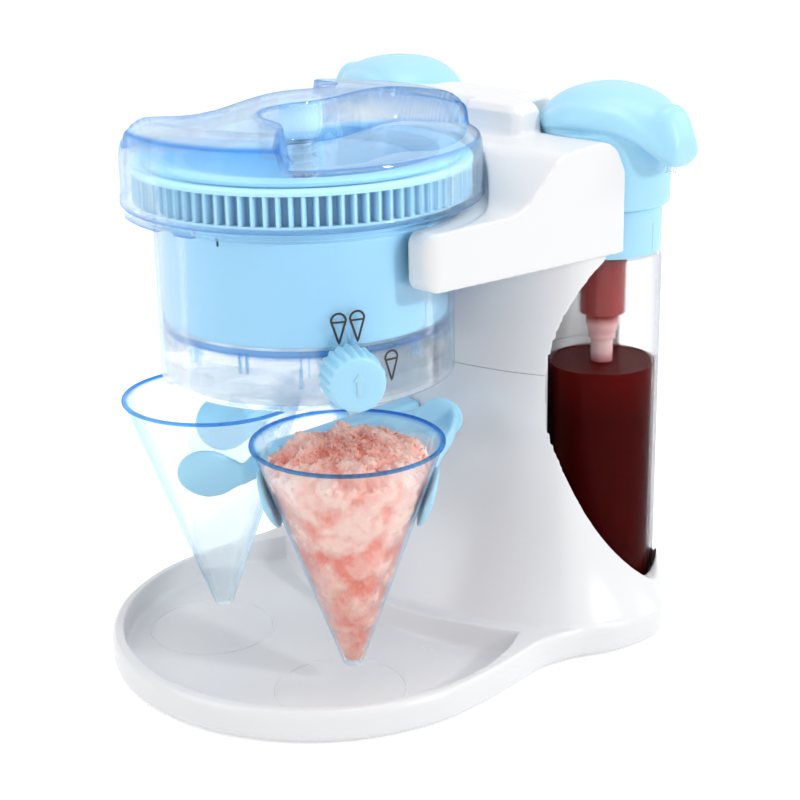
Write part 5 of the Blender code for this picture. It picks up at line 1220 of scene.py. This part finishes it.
def on_knob(points):
    """Points given as (outwards, sideways, up) from the knob's axis, turned to its place."""
    points = np.asarray(points, float)
    out, side = points[..., 0], points[..., 1]
    return np.stack([out * math.cos(KNOB_TURN) - side * math.sin(KNOB_TURN),
                     out * math.sin(KNOB_TURN) + side * math.cos(KNOB_TURN), points[..., 2] + KNOB_Z], -1)


angle = np.linspace(0, 2 * np.pi, FLUTES * 14, endpoint=False)
swell = 0.5 + 0.5 * np.cos(FLUTES * angle)
knob_end = KNOB_START + KNOB_LONG
stations = [(KNOB_START, 0.0110, 0.0), (KNOB_START, 0.0128, 0.0010), (KNOB_START + 0.0006, 0.0131, 0.0015),
            (knob_end - 0.0060, 0.0129, 0.0014), (knob_end - 0.0036, 0.0126, 0.0010),
            (knob_end - 0.0022, 0.0121, 0.0005), (knob_end - 0.0012, 0.0117, 0.0001),
            (knob_end - 0.0004, 0.0114, 0.0), (knob_end, 0.0108, 0.0), (knob_end, 0.0080, 0.0),
            (knob_end, 0.0040, 0.0)]
rows = []
for out, radius, depth in stations:
    ring_radius = radius - depth * (1 - swell)
    rows.append(on_knob(np.stack([np.full(len(angle), out), ring_radius * np.cos(angle),
                                  ring_radius * np.sin(angle)], 1)))
dress(ring_surface("selector_grip", np.stack(rows)), SKY, "selector", "sky", "selector_knob")
arrow_line = rounded([(-0.0011, -0.0048, 0.0002), (0.0011, -0.0048, 0.0002), (0.0011, 0.0018, 0.0001),
                      (0.0026, 0.0018, 0.0003), (0.0, 0.0054, 0.0003), (-0.0026, 0.0018, 0.0003),
                      (-0.0011, 0.0018, 0.0001)], 3)
rows = [on_knob(np.column_stack([np.full(len(arrow_line), knob_end + lift), arrow_line * size]))
        for lift, size in ((-0.0004, 1.0), (0.0004, 1.0), (0.0006, 0.92))]
dress(ring_surface("selector_arrow", np.stack(rows)), SKY, "selector", "sky")
print("knob is ready")

# %% [markdown]
# The holder is one springy moulding: a bar from the column forks into straps, and each strap ends in a round
# pad that lies against a cone. A strap is a flat oval section carried along a smooth line, and its height swells
# to the pad. The straps and the bar are joined and then softened like the castings.

# %% The cone holder
PAD_RADIUS, PAD_THICK, PAD_Z, BAR_HIGH = 0.0138, 0.0032, 0.0940, 0.0160
BAR_Z = PAD_Z + 0.0060
KNUCKLE_RADIUS, KNUCKLE_Z = 0.0104, PAD_Z + 0.0170
CONE_LEAN = math.atan(CONE_SLOPE)


def flowing(stations, samples=7):
    """Catmull curve through all the stations, one row of numbers each, with the ends held."""
    stations = np.asarray(stations, float)
    padded = np.vstack([2 * stations[0] - stations[1], stations, 2 * stations[-1] - stations[-2]])
    share = np.linspace(0, 1, samples, endpoint=False)[:, None]
    spans = []
    for i in range(1, len(padded) - 2):
        a, b, c, d = padded[i - 1:i + 3]
        spans.append(0.5 * (2 * b + (c - a) * share + (2 * a - 5 * b + 4 * c - d) * share ** 2
                            + (3 * b - a - 3 * c + d) * share ** 3))
    return np.vstack([*spans, stations[-1:]])


def strap(name, stations):
    """Flat strap: stations are (x, y, z, half height, normal x, normal y, lean) along its middle line."""
    path = flowing(stations)
    turn_round = np.linspace(0, 2 * np.pi, 28, endpoint=False)
    thin = PAD_THICK / 2 * np.sign(np.cos(turn_round)) * np.abs(np.cos(turn_round)) ** 0.6
    tall = np.sign(np.sin(turn_round)) * np.abs(np.sin(turn_round)) ** 0.9
    normal = path[:, 4:6] / np.linalg.norm(path[:, 4:6], axis=1)[:, None]
    lean = path[:, 6:7]
    out = np.hstack([normal * np.cos(lean), -np.sin(lean)])
    rise = np.hstack([normal * np.sin(lean), np.cos(lean)])
    rows = (path[:, None, :3] + out[:, None] * thin[None, :, None]
            + rise[:, None] * tall[None, :, None] * path[:, 3, None, None])
    return ring_surface(name, rows)


pad_share = (PAD_Z - CONE_LOW) / (CONE_HIGH - CONE_LOW)
pad_reach = CONE_TIP + (CONE_RIM - CONE_TIP) * pad_share + (PAD_THICK / 2 + 0.0003) / math.cos(CONE_LEAN)
disc = [(-0.99, 0.14), (-0.96, 0.28), (-0.88, 0.48), (-0.72, 0.70), (-0.5, 0.867), (-0.25, 0.97), (0.0, 1.0),
        (0.3, 0.95), (0.55, 0.84), (0.75, 0.70), (0.95, 0.56), (1.2, 0.44)]
straps = []
slant_share = math.sqrt(0.5)
for side, word in ((1, "right"), (-1, "left")):
    out = np.array([side * slant_share, slant_share])
    along = np.array([side * slant_share, -slant_share])
    cone_at = np.array([side * CONE_X, CONE_Y])
    inner_spot, outer_spot = cone_at - out * pad_reach, cone_at + out * pad_reach
    stations = [(*(inner_spot - along * step * PAD_RADIUS), PAD_Z, size * PAD_RADIUS, *-out, CONE_LEAN)
                for step, size in disc]
    root = np.array([side * 0.0015, CONE_Y + 0.002])
    halfway = 0.35 * root + 0.65 * np.array(stations[-1][:2])
    stations.append((*halfway, PAD_Z + 0.0034, 0.0070, *-out, 0.5 * CONE_LEAN))
    stations.append((*root, BAR_Z, 0.0065, *-out, 0.0))
    straps.append(strap(f"inner_strap_{word}", stations))
    stations = [(*(outer_spot - along * step * PAD_RADIUS), PAD_Z, size * PAD_RADIUS, *out, CONE_LEAN)
                for step, size in disc]
    elbow = np.array([side * 0.0375, 0.0475])
    last = np.array(stations[-1][:2])
    for share, half_height, lift in ((0.30, 0.0046, 0.0090), (0.62, 0.0050, 0.0145)):
        spot = (1 - share) * last + share * (elbow + out * 0.0105)
        stations.append((*spot, PAD_Z + lift, half_height, *out, CONE_LEAN * (1 - share)))
    stations.append((*(elbow + out * 0.0050 + along * 0.0012), KNUCKLE_Z, 0.0050, *out, 0.0))
    stations.append((*(elbow + out * 0.0035 - along * 0.0010), KNUCKLE_Z, 0.0048, *out, 0.0))
    straps.append(strap(f"outer_strap_{word}", stations))
    stations = [(*(elbow - out * (0.0009 + step * KNUCKLE_RADIUS)), KNUCKLE_Z, size * KNUCKLE_RADIUS, *along, 0.0)
                for step, size in disc]
    last, foot = np.array(stations[-1][:2]), np.array([0.0, 0.0250])
    for share, half_height in ((0.45, 0.0058), (1.0, 0.0062)):
        spot = (1 - share) * last + share * foot
        height = (1 - share) * KNUCKLE_Z + share * BAR_Z
        stations.append((*spot, height, half_height, *along, 0.0))
    straps.append(strap(f"rear_strap_{word}", stations))
bar_line = rounded([(-0.005, BAR_Z - BAR_HIGH / 2, 0.002), (0.005, BAR_Z - BAR_HIGH / 2, 0.002),
                    (0.005, BAR_Z + BAR_HIGH / 2, 0.002), (-0.005, BAR_Z + BAR_HIGH / 2, 0.002)], 5)
bar = ring_surface("holder_bar", np.stack([
    np.column_stack([bar_line[:, 0], np.full(len(bar_line), y), bar_line[:, 1]])
    for y in (CONE_Y - 0.004, COLUMN_FRONT_Y - 0.0008)]))
for piece in straps:
    boolean(bar, piece, "UNION")
holder = softened(bar, "cone_bracket", 0.0007, 3)
forget(bar, *straps)
dress(holder, SKY, "stand", "sky", "cone_holder")

# %% [markdown]
# Syrup bottles are blown from thin clear plastic with a nearly flat shoulder. The syrup inside is a solid body
# of its own that stops just short of the wall. It's very dark red, a little lighter near its top.

# %% Bottles and syrup
BOTTLE_WALL, BOTTLE_FLOOR, BOTTLE_SHOULDER, NECK_RADIUS, NECK_TOP = 0.0016, 0.0108, 0.1820, 0.0130, 0.1917
CYLINDER_RADIUS, DIP_RADIUS, SYRUP_LEVEL = 0.0108, 0.0052, 0.1270
COLLAR_RADIUS, COLLAR_LOW, COLLAR_TOP = 0.0265, 0.1825, 0.2105
neck_bore = CYLINDER_RADIUS + 0.0006
inside = BOTTLE_RADIUS - BOTTLE_WALL
bottle_profile = rounded([
    (0, BOTTLE_FLOOR + 0.0014, 0), (0.0170, BOTTLE_FLOOR + 0.0010, 0.004), (0.0205, BOTTLE_FLOOR, 0.002),
    (BOTTLE_RADIUS - 0.0002, BOTTLE_FLOOR, 0.0040), (BOTTLE_RADIUS, BOTTLE_SHOULDER, 0.0042),
    (NECK_RADIUS, BOTTLE_SHOULDER + 0.0002, 0.0006), (NECK_RADIUS, NECK_TOP, 0.0004), (neck_bore, NECK_TOP, 0.0004),
    (neck_bore, BOTTLE_SHOULDER - BOTTLE_WALL, 0.0006), (inside, BOTTLE_SHOULDER - BOTTLE_WALL, 0.0034),
    (inside, BOTTLE_FLOOR + 0.0022, 0.0034), (0, BOTTLE_FLOOR + 0.0030, 0)], 8, closed=False)
gap = 0.00015
CUP_BOTTOM_LINE = COLLAR_LOW + 0.0150
syrup_profile = rounded([
    (DIP_RADIUS + gap, BOTTLE_FLOOR + 0.0030 + gap, 0), (inside - gap, BOTTLE_FLOOR + 0.0024 + gap, 0.0033),
    (inside - gap, SYRUP_LEVEL + 0.0006, 0.0), (inside - 0.0008, SYRUP_LEVEL + 0.0001, 0.0004),
    (DIP_RADIUS + 0.0008, SYRUP_LEVEL, 0.0004), (DIP_RADIUS + gap, SYRUP_LEVEL + 0.0005, 0)], 6)
collar_profile = rounded([
    (NECK_RADIUS + 0.0003, COLLAR_LOW, 0.0003), (COLLAR_RADIUS, COLLAR_LOW, 0.0010),
    (COLLAR_RADIUS, COLLAR_TOP, 0.0006), (0.0039, COLLAR_TOP, 0.0003), (0.0039, COLLAR_TOP - 0.0025, 0.0003),
    (CYLINDER_RADIUS, COLLAR_TOP - 0.0025, 0.0003), (CYLINDER_RADIUS, NECK_TOP + 0.0026, 0.0003),
    (NECK_RADIUS + 0.0003, NECK_TOP + 0.0026, 0.0003)], 4)
cylinder_profile = rounded([
    (DIP_RADIUS + 0.0003, 0.1385, 0.0002), (DIP_RADIUS + 0.0011, 0.1385, 0.0003), (DIP_RADIUS + 0.0011, 0.1412, 0.002),
    (0.0078, 0.1462, 0.0012), (0.0078, 0.1500, 0.0004), (CYLINDER_RADIUS, 0.1512, 0.0010),
    (CYLINDER_RADIUS, NECK_TOP + 0.0003, 0.0002), (NECK_RADIUS - 0.0003, NECK_TOP + 0.0003, 0.0003),
    (NECK_RADIUS - 0.0003, NECK_TOP + 0.0023, 0.0003), (0.0091, NECK_TOP + 0.0023, 0.0003),
    (0.0091, 0.1562, 0.0004), (DIP_RADIUS - 0.0014, 0.1560, 0.0002), (DIP_RADIUS - 0.0014, 0.1541, 0.0002),
    (DIP_RADIUS + 0.0003, 0.1541, 0.0002)], 4)
tube_profile = rounded([
    (DIP_RADIUS - 0.0012, BOTTLE_FLOOR + 0.0062, 0.0003), (DIP_RADIUS, BOTTLE_FLOOR + 0.0062, 0.0003),
    (DIP_RADIUS, 0.1537, 0.0003), (DIP_RADIUS - 0.0012, 0.1537, 0.0003)], 3)
for side, word in ((1, "right"), (-1, "left")):
    spot, body = (side * BOTTLE_X, BOTTLE_Y), f"bottle_{word}"
    dress(turned(f"syrup_bottle_{word}", bottle_profile, 144, False, spot), CLEAR, body, "clear", f"bottle_{word}")
    dress(turned(f"syrup_{word}", syrup_profile, 144, True, spot), SYRUP, body, "clear")
    dress(turned(f"screw_collar_{word}", collar_profile, 144, True, spot), SKY, body, "sky", f"collar_{word}")
    seam_turn = math.radians(6) if side == 1 else math.radians(174)
    line = bent_block(seam_turn - 0.010, seam_turn + 0.010, COLLAR_RADIUS - 0.0004, COLLAR_RADIUS + 0.00012,
                      COLLAR_LOW + 0.0010, CUP_BOTTOM_LINE, 4, 0.0001)
    dress(ring_surface(f"collar_seam_{word}", line, False, AXIS + np.array([*spot, 0])), SKY, body, "sky")
    dress(turned(f"pump_barrel_{word}", cylinder_profile, 96, True, spot), BARREL, body, "clear",
          f"pump_cylinder_{word}")
    dress(turned(f"suction_tube_{word}", tube_profile, 64, True, spot), TUBE, body, "clear", f"dip_tube_{word}")
print("bottles, syrup and collars")

# %% [markdown]
# The pump head is a dome that reaches forward to a blunt beak, over a cup that slides down the collar. Its plan,
# underside and top are read from smooth curves through a few stations along its length. A shallow step on each
# cheek follows a crescent, and the thumb rests above it.

# %% The pump heads
CUP_RADIUS, CUP_LOW, HEAD_TOP, HEAD_REACH, PUMP_TRAVEL = 0.0300, 0.2050, 0.2594, 0.0465, 0.0080
crown = CUP_RADIUS + 0.0008
HEAD_STATIONS = [
    (-1.000 * crown, 0.0060, -0.0235, -0.0205), (-0.990 * crown, 0.0085, -0.0238, -0.0178),
    (-0.940 * crown, 0.0130, -0.0240, -0.0150), (-0.780 * crown, 0.0205, -0.0240, -0.0085),
    (-0.550 * crown, 0.0262, -0.0238, -0.0038), (-0.280 * crown, 0.0298, -0.0230, -0.0010),
    (0.000, 0.0306, -0.0222, 0.0), (0.270 * HEAD_REACH, 0.0272, -0.0220, -0.0008),
    (0.500 * HEAD_REACH, 0.0222, -0.0228, -0.0032), (0.640 * HEAD_REACH, 0.0182, -0.0252, -0.0062),
    (0.730 * HEAD_REACH, 0.0152, -0.0290, -0.0072), (0.800 * HEAD_REACH, 0.0134, -0.0318, -0.0066),
    (0.870 * HEAD_REACH, 0.0118, -0.0336, -0.0082), (0.940 * HEAD_REACH, 0.0100, -0.0334, -0.0142),
    (0.985 * HEAD_REACH, 0.0084, -0.0308, -0.0196), (1.000 * HEAD_REACH, 0.0066, -0.0284, -0.0226)]
HEAD_BELLY = 0.28


def head_rows(side, spot):
    """Sections across the head: a flat belly under a tall dome, drawn in above the crescent's edge."""
    along_head = flowing(HEAD_STATIONS, 6)
    reach_x, half_wide, low, high = along_head.T
    turn_round = np.linspace(0, 2 * np.pi, 96, endpoint=False)
    cos_part, sin_part = np.cos(turn_round), np.sin(turn_round)
    share = (reach_x - reach_x.min()) / np.ptp(reach_x)
    edge_turn = math.radians(44) * np.sin(np.pi * np.clip((share - 0.10) / 0.86, 0, 1)) ** 0.6 - math.radians(6)
    lifted = np.abs(np.arctan2(sin_part, np.abs(cos_part)))
    above = np.where(sin_part > 0, lifted, -lifted)[None, :] - edge_turn[:, None]
    step_in = 0.085 * np.clip(above / 0.16 + 0.5, 0, 1) * np.clip(1.2 - above, 0, 1)
    step_in = step_in * np.sin(np.pi * np.clip(share, 0, 1))[:, None] ** 0.5
    wide = half_wide[:, None] * np.sign(cos_part) * np.abs(cos_part) ** 0.90 * (1 - step_in)
    belly = HEAD_BELLY * (high - low)
    tall = np.where(sin_part > 0, (high - low - belly)[:, None], belly[:, None]) * sin_part
    height = HEAD_TOP + (low + belly)[:, None] + tall
    rows = np.stack([np.broadcast_to(side * reach_x[:, None], wide.shape), wide, height], -1)
    return rows + np.array([spot[0], spot[1], 0])


cup_profile = rounded([
    (0, COLLAR_TOP + PUMP_TRAVEL + 0.0030, 0), (COLLAR_RADIUS + 0.0006, COLLAR_TOP + PUMP_TRAVEL + 0.0030, 0.001),
    (COLLAR_RADIUS + 0.0006, CUP_LOW, 0.0005), (CUP_RADIUS, CUP_LOW, 0.0010), (CUP_RADIUS, HEAD_TOP - 0.0200, 0.0),
    (0, HEAD_TOP - 0.0200, 0)], 5, closed=False)
nozzle_top = HEAD_TOP - 0.0330
nozzle_profile = rounded([
    (0.0016, nozzle_top - 0.0040, 0.0003), (0.0027, nozzle_top - 0.0040, 0.0005), (0.0030, nozzle_top + 0.0060, 0.0002),
    (0.0016, nozzle_top + 0.0060, 0.0002)], 4)
for side, word in ((1, "right"), (-1, "left")):
    spot, body = (side * BOTTLE_X, BOTTLE_Y), f"pump_{word}"
    cup = turned(f"cup_{word}", cup_profile, 128, False, spot)
    dome = ring_surface(f"dome_{word}", head_rows(side, spot))
    boolean(cup, dome, "UNION")
    nozzle_spot = (spot[0] + side * 0.80 * HEAD_REACH, spot[1])
    bore = turned(f"nozzle_seat_{word}", [(0, nozzle_top - 0.01), (0.0033, nozzle_top - 0.01),
                                          (0.0033, nozzle_top + 0.0063), (0, nozzle_top + 0.0063)], 48, False,
                  nozzle_spot)
    boolean(cup, bore, "DIFFERENCE")
    made = softened(cup, f"pump_cap_{word}", 0.0008, 3)
    forget(cup, dome, bore)
    dress(made, SKY, body, "sky", f"pump_head_{word}")
    dress(turned(f"pump_nozzle_{word}", nozzle_profile, 48, True, nozzle_spot), CLEAR, body, "clear",
          f"nozzle_{word}")
print("pump heads are ready")

# %% [markdown]
# Shaved ice is a heap of crumbs. The big form is a turned heap that fills the right cone and stands up in the
# middle, roughened by noise at three sizes. Thousands of small angular crystals lie on it. Each crystal is an
# eight-sided lump that is stretched and turned by chance, with a fixed seed so that every run gives the same
# heap.

# %% A noise for crumbs
chance = np.random.default_rng(11)
LATTICE = chance.random((32, 32, 32))


def crumble(points, size):
    """Value noise from 0 to 1: random numbers on a lattice of the given size, blended smoothly between."""
    place = np.asarray(points) / size + 100.0
    cell = np.floor(place).astype(int)
    part = place - cell
    part = part * part * (3 - 2 * part)
    total = np.zeros(place.shape[:-1])
    for i in (0, 1):
        for j in (0, 1):
            for k in (0, 1):
                corner = LATTICE[(cell[..., 0] + i) % 32, (cell[..., 1] + j) % 32, (cell[..., 2] + k) % 32]
                weight = (np.where(i, part[..., 0], 1 - part[..., 0]) * np.where(j, part[..., 1], 1 - part[..., 1])
                          * np.where(k, part[..., 2], 1 - part[..., 2]))
                total += corner * weight
    return total


# %% [markdown]
# Shaved ice fills the right cone and rises in a rounded heap. Its outline runs up inside the cone's wall,
# then bends over to the top.

# %% The heap of ice
ICE_EDGE_Z, ICE_TOP_Z = CONE_HIGH - 0.0125, CONE_HIGH + 0.0010
wall_gap = 0.0016
heap = [(0.0006, CONE_LOW + 0.0024)]
wall_heights = np.linspace(CONE_LOW + 0.0030, ICE_EDGE_Z, 110)
heap += [(CONE_TIP + CONE_SLOPE * (z - CONE_LOW) - wall_gap, z) for z in wall_heights]
edge_radius = heap[-1][0]
crest = np.linspace(0, 1, 60)[1:]
heap += [(edge_radius * (1 - u), ICE_EDGE_Z + (ICE_TOP_Z - ICE_EDGE_Z) * (1 - (1 - u) ** 2.2) ** 0.75)
         for u in crest]
heap = np.array(heap)
grid = turned_grid(heap, 300)
outward = grid.copy()
outward[..., 2] = 0
length = np.linalg.norm(outward, axis=-1, keepdims=True)
outward = outward / np.maximum(length, 1e-9)
rough = (0.55 * crumble(grid, 0.0075) + 0.30 * crumble(grid, 0.0032) + 0.15 * crumble(grid, 0.0014)) - 0.5
on_top = np.clip((grid[..., 2] - ICE_EDGE_Z + 0.004) / 0.006, 0, 1)
grid[..., 2] += on_top * rough * 0.0105
grid += outward * (np.minimum(rough * 0.0032, 0.0009) * (1 - on_top) + rough * 0.003 * on_top)[..., None]
grid[-1] = grid[-1].mean(axis=0)
ice_spot = AXIS + np.array([CONE_X, CONE_Y, 0])
ice_core = ring_surface("ice_heap", grid, False, ice_spot)


def syrup_and_shade_share(points):
    """Coral share of a point of ice: more towards the cone's tip as syrup, and in crevices (low noise) as painted
    shade.
    """
    low_place = np.clip((CONE_HIGH - 0.030 - points[:, 2]) / 0.080, 0, 1)
    # Painted shade: low noise marks a crevice, which gets more coral.
    painted_gap_shade = 0.5 - (0.55 * crumble(points, 0.0075) + 0.30 * crumble(points, 0.0032)
                    + 0.15 * crumble(points, 0.0014))
    return np.clip(0.42 + 2.6 * painted_gap_shade + 0.30 * low_place, 0, 1)


def give_syrup_and_shade(piece, values):
    """Store the coral share, syrup and painted shade, on the piece's points, where the ice group reads it."""
    store = piece.data.attributes.new("syrup_and_shade", "FLOAT", "POINT")
    store.data.foreach_set("value", np.asarray(values, np.float32))


spots = np.empty(len(ice_core.data.vertices) * 3)
ice_core.data.vertices.foreach_get("co", spots)
give_syrup_and_shade(ice_core, syrup_and_shade_share(spots.reshape(-1, 3) - ice_spot))
dress(ice_core, ICE, "cone_right", "white")

# %% [markdown]
# Thousands of small eight-sided lumps lie on the heap. They catch the light one by one, which makes the
# shaved ice look crisp.

# %% Crystals on the ice
CRYSTALS = 5200
lump = np.array([(1, 0, 0), (-1, 0, 0), (0, 1, 0), (0, -1, 0), (0, 0, 1), (0, 0, -1)], float)
lump_faces = np.array([(0, 2, 4), (2, 1, 4), (1, 3, 4), (3, 0, 4), (2, 0, 5), (1, 2, 5), (3, 1, 5), (0, 3, 5)])
row_pick = np.where(chance.random(CRYSTALS) < 0.55, chance.integers(95, 168, CRYSTALS),
                    (111 * np.sqrt(chance.random(CRYSTALS))).astype(int))
column_pick = chance.integers(0, 300, CRYSTALS)
seat = grid[row_pick, column_pick]
size = 0.00035 + 0.0011 * chance.random(CRYSTALS) ** 2.2
stretch = size[:, None, None] * (0.55 + 0.75 * chance.random((CRYSTALS, 1, 3)))
wobble = 1 + 0.35 * (chance.random((CRYSTALS, 6, 1)) - 0.5)
spin, _ = np.linalg.qr(chance.standard_normal((CRYSTALS, 3, 3)))
corners = np.einsum("nij,nkj->nki", spin, lump[None] * stretch * wobble)
inner_limit = CONE_TIP + CONE_SLOPE * (seat[:, 2] - CONE_LOW) - 0.00155 - size * 1.25
radius_now = np.hypot(seat[:, 0], seat[:, 1])
pull = np.minimum(1.0, np.maximum(inner_limit, 0.0003) / np.maximum(radius_now, 1e-6))
seat[:, :2] *= np.where(seat[:, 2] < ICE_EDGE_Z + 0.001, pull, 1.0)[:, None]
points = (corners + seat[:, None]).reshape(-1, 3) + ice_spot
faces = (lump_faces[None] + 6 * np.arange(CRYSTALS)[:, None, None]).reshape(-1, 3)
crystal_mesh = bpy.data.meshes.new("ice_crystals")
crystal_mesh.from_pydata(points.tolist(), [], faces.tolist())
clean(crystal_mesh, 1e-9)
crystal_mesh.set_sharp_from_angle(angle=math.radians(20))
crystals = bpy.data.objects.new("ice_crystals", crystal_mesh)
bpy.context.scene.collection.objects.link(crystals)
if len(crystal_mesh.vertices) == CRYSTALS * len(lump):
    # Each crystal gets the coral share of its seat, syrup and painted shade, with a little chance mixed in.
    each = np.repeat(syrup_and_shade_share(seat) * 0.75 - 0.18 + 0.30 * chance.random(CRYSTALS), len(lump))
    give_syrup_and_shade(crystals, np.clip(each, 0, 1))
dress(crystals, ICE, "cone_right", "white")
print(CRYSTALS, "crystals")

# %% [markdown]
# Two shallow rings in the tray mark where cups stand. Each is a fine bead on the tray's floor.

# %% Rings in the tray
RING_MARK = 0.0295
bead_line = rounded([(RING_MARK - 0.0007, TRAY_FLOOR - 0.0004, 0), (RING_MARK + 0.0007, TRAY_FLOOR - 0.0004, 0),
                     (RING_MARK + 0.0006, TRAY_FLOOR + 0.00035, 0.0003),
                     (RING_MARK - 0.0006, TRAY_FLOOR + 0.00035, 0.0003)], 5)
for side, word in ((1, "right"), (-1, "left")):
    bead = turned(f"tray_ring_{word}", bead_line, 160, True, (side * CONE_X, CONE_Y - 0.0075))
    dress(bead, WHITE, "stand", "white")
hub_profile = rounded([(0.0043, 0.2438, 0.0002), (0.0075, 0.2438, 0.0006), (0.0095, 0.2478, 0.001),
                       (0.0095, 0.2590, 0.0006), (0.0043, 0.2590, 0.0002)], 4)
dress(turned("lid_spindle_hub", hub_profile, 64), PALE_BLUE, "lid", "sky", "lid_hub")

# %% [markdown]
# Three steel springs work out of sight: one presses the ice down, and one lifts each pump. A spring is a round
# wire carried along a helix whose first and last turns lie nearly flat. A real spring closes up when it is pressed.

# %% The springs
WIRE_RADIUS, SPRING_TURNS = 0.0006, 9.0


def coiled(name, middle, low, high, radius):
    """Wire carried along a helix: height rises evenly between two flat end turns."""
    turn_round = np.linspace(0, 2 * np.pi * SPRING_TURNS, int(SPRING_TURNS * 24) + 1)
    share = np.clip((turn_round / (2 * np.pi) - 0.8) / (SPRING_TURNS - 1.6), 0, 1)
    height = low + WIRE_RADIUS + (high - low - 2 * WIRE_RADIUS) * share
    outwards = np.stack([np.cos(turn_round), np.sin(turn_round), np.zeros(len(turn_round))], 1)
    section = np.linspace(0, 2 * np.pi, 12, endpoint=False)
    line = (radius - WIRE_RADIUS) * outwards + np.array([*middle, 0.0]) + height[:, None] * np.array([0.0, 0, 1])
    rows = (line[:, None] + WIRE_RADIUS * np.cos(section)[None, :, None] * outwards[:, None]
            + WIRE_RADIUS * np.sin(section)[None, :, None] * np.array([0.0, 0, 1]))
    return ring_surface(name, rows)


press_low, press_high, press_travel = 0.2135, 0.2434, 0.0180
press_coil = coiled("press_coil", (0.0, 0.0), press_low, press_high, 0.0074)
dress(press_coil, STEEL, "lid", "steel", "press_spring")
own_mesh(press_coil)
pump_low, pump_high = 0.1565, 0.1855
for side, word in ((1, "right"), (-1, "left")):
    spot = (side * BOTTLE_X, BOTTLE_Y)
    pump_coil = coiled(f"pump_coil_{word}", spot, pump_low, pump_high, 0.0071)
    dress(pump_coil, STEEL, f"bottle_{word}", "steel", f"pump_spring_{word}")
    seat = (float(AXIS[0] + spot[0]), float(AXIS[1] + spot[1]), pump_low)
    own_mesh(pump_coil)
print("three springs")
print("small pieces are ready")
